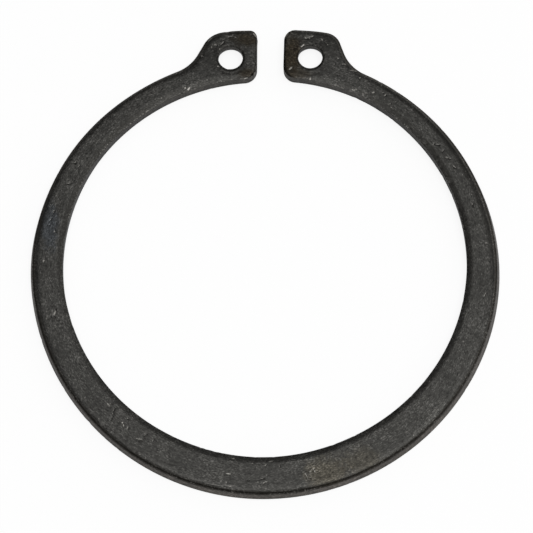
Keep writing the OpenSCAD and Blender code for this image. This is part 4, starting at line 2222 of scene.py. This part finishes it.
@dataclass(frozen=True)
class Studio:
    """Plain pale floor, soft light and surroundings.

    Args:
        lamps: The lamps.
        lit_from: Direction from which the room is brightest.
        room_span: How far along that direction the room turns from dim to bright.
        room_glow: Brightness of the room's dim side and of its bright side.
        floor_size: Length of the floor's sides, in metres.
        floor_paper: Grey of the floor, for the light that falls on it.
        floor_glow: White that the floor itself shows to the camera.
        floor_share: Share of its real brightness that it shows to the camera besides.
    """

    lamps: tuple[SoftLamp, ...] = (
        SoftLamp("overhead_softbox", (0.16, 0.0, 1.0), (0.92, 0.92), 1.28),
        SoftLamp("softbox_right", (0.28, -0.1, 0.98), (0.32, 0.4), 1.2),
        SoftLamp("softbox_left", (-0.28, -0.1, 0.98), (0.32, 0.4), 1.2),
    )
    lit_from: tuple[float, float, float] = (0.7, 0.5, -0.5)
    room_span: Span = (-0.3, 0.6)
    room_glow: Span = (0.11, 0.45)
    floor_size: float = 6.0
    floor_paper: float = 0.9
    floor_glow: float = 0.85
    floor_share: float = 0.35

    def build(self) -> None:
        """Sets up the floor, the lamps and the room."""
        for lamp in self.lamps:
            lamp.build()
        world = bpy.data.worlds.new("room")
        world.use_nodes = True
        world.node_tree.nodes.clear()
        wire = Wiring(world.node_tree)
        towards = wire.node("ShaderNodeTexCoord").outputs["Generated"]
        along = wire.node("ShaderNodeVectorMath", {0: towards, 1: self.lit_from}, operation="DOT_PRODUCT")
        dim, bright = self.room_glow
        glow = wire.scaled(wire.ramp(along.outputs["Value"], *self.room_span), bright - dim, dim)
        room = wire.node("ShaderNodeBackground", {"Color": (1, 1, 1, 1), "Strength": glow})
        wire.node("ShaderNodeOutputWorld", {"Surface": room.outputs[0]})
        bpy.context.scene.world = world
        self.floor()

    def floor(self) -> None:
        """Lays the floor, which looks white and keeps a soft shadow."""
        half = self.floor_size / 2
        sheet = bpy.data.meshes.new("studio_floor")
        corners = [(-half, -half, 0), (half, -half, 0), (half, half, 0), (-half, half, 0)]
        sheet.from_pydata(corners, [], [(0, 1, 2, 3)])
        made = bpy.data.objects.new("studio_floor", sheet)
        bpy.context.scene.collection.objects.link(made)
        look = bpy.data.materials.new("pale_floor")
        look.use_nodes = True
        look.node_tree.nodes.clear()
        wire = Wiring(look.node_tree)
        seen = wire.node("ShaderNodeLightPath").outputs["Is Camera Ray"]
        greys = (self.floor_paper, self.floor_share * self.floor_paper)
        paper, shown = ((grey, grey, grey, 1) for grey in greys)
        matt = wire.node("ShaderNodeBsdfDiffuse", {"Color": wire.mix(seen, paper, shown)})
        strength = wire.times(seen, self.floor_glow)
        glow = wire.node("ShaderNodeEmission", {"Color": (1, 1, 1, 1), "Strength": strength})
        both = wire.node("ShaderNodeAddShader", {0: matt.outputs[0], 1: glow.outputs[0]})
        wire.node("ShaderNodeOutputMaterial", {"Surface": both.outputs[0]})
        sheet.materials.append(look)


@dataclass(frozen=True)
class Viewpoint:
    """Camera that looks down on the ring as the photograph does.

    Args:
        tilt: Tilt of the sight line from the shaft axis, in degrees.
        turn: Direction of that tilt, in degrees from the -Y side.
        roll: Turn of the picture, in degrees.
        distance: Distance of the camera from the front face, in mm.
        aside: Place of the sight line beside the shaft axis, across and up the picture, in mm.
        focal: Focal length, in widths of the picture.
        sensor: Width of the picture in the camera, in mm.
        clip: Nearest and farthest distance that the camera sees, in metres.
    """

    tilt: float = 19.24
    turn: float = 4.54
    roll: float = -1.33
    distance: float = 697.5
    aside: tuple[float, float] = (0.3, -0.604)
    focal: float = 9.504
    sensor: float = 36.0
    clip: Span = (0.01, 20.0)

    def build(self, face: float) -> bpy.types.Object:
        """Places the camera.

        Args:
            face: Height of the front face above the floor, in mm.

        Returns:
            The camera.
        """
        swing = (
            Matrix.Rotation(math.radians(self.turn), 3, "Z")
            @ Matrix.Rotation(math.radians(-self.tilt), 3, "X")
            @ Matrix.Rotation(math.radians(self.roll - self.turn), 3, "Z")
        ).transposed()
        lens = bpy.data.cameras.new("camera")
        lens.sensor_width = self.sensor
        lens.lens = self.focal * self.sensor
        lens.clip_start, lens.clip_end = self.clip
        made = bpy.data.objects.new("camera", lens)
        place = swing @ Vector((*self.aside, self.distance)) + Vector((0, 0, face))
        made.matrix_world = Matrix.Translation(place * MM) @ swing.to_4x4()
        bpy.context.scene.collection.objects.link(made)
        bpy.context.scene.camera = made
        return made


def main() -> None:
    """Builds the ring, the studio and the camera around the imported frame."""
    logging.basicConfig(level=logging.INFO, format="%(message)s")
    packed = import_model()
    bpy.context.scene.view_settings.view_transform = "Standard"
    frame = Frame.read(packed["record"])
    Viewpoint().build(frame.thickness)
    Studio().build()
    ring = RetainingRing(frame).build()
    log.info("%s: %d faces", ring.name, len(ring.data.polygons))


if __name__ == "__main__":
    main()
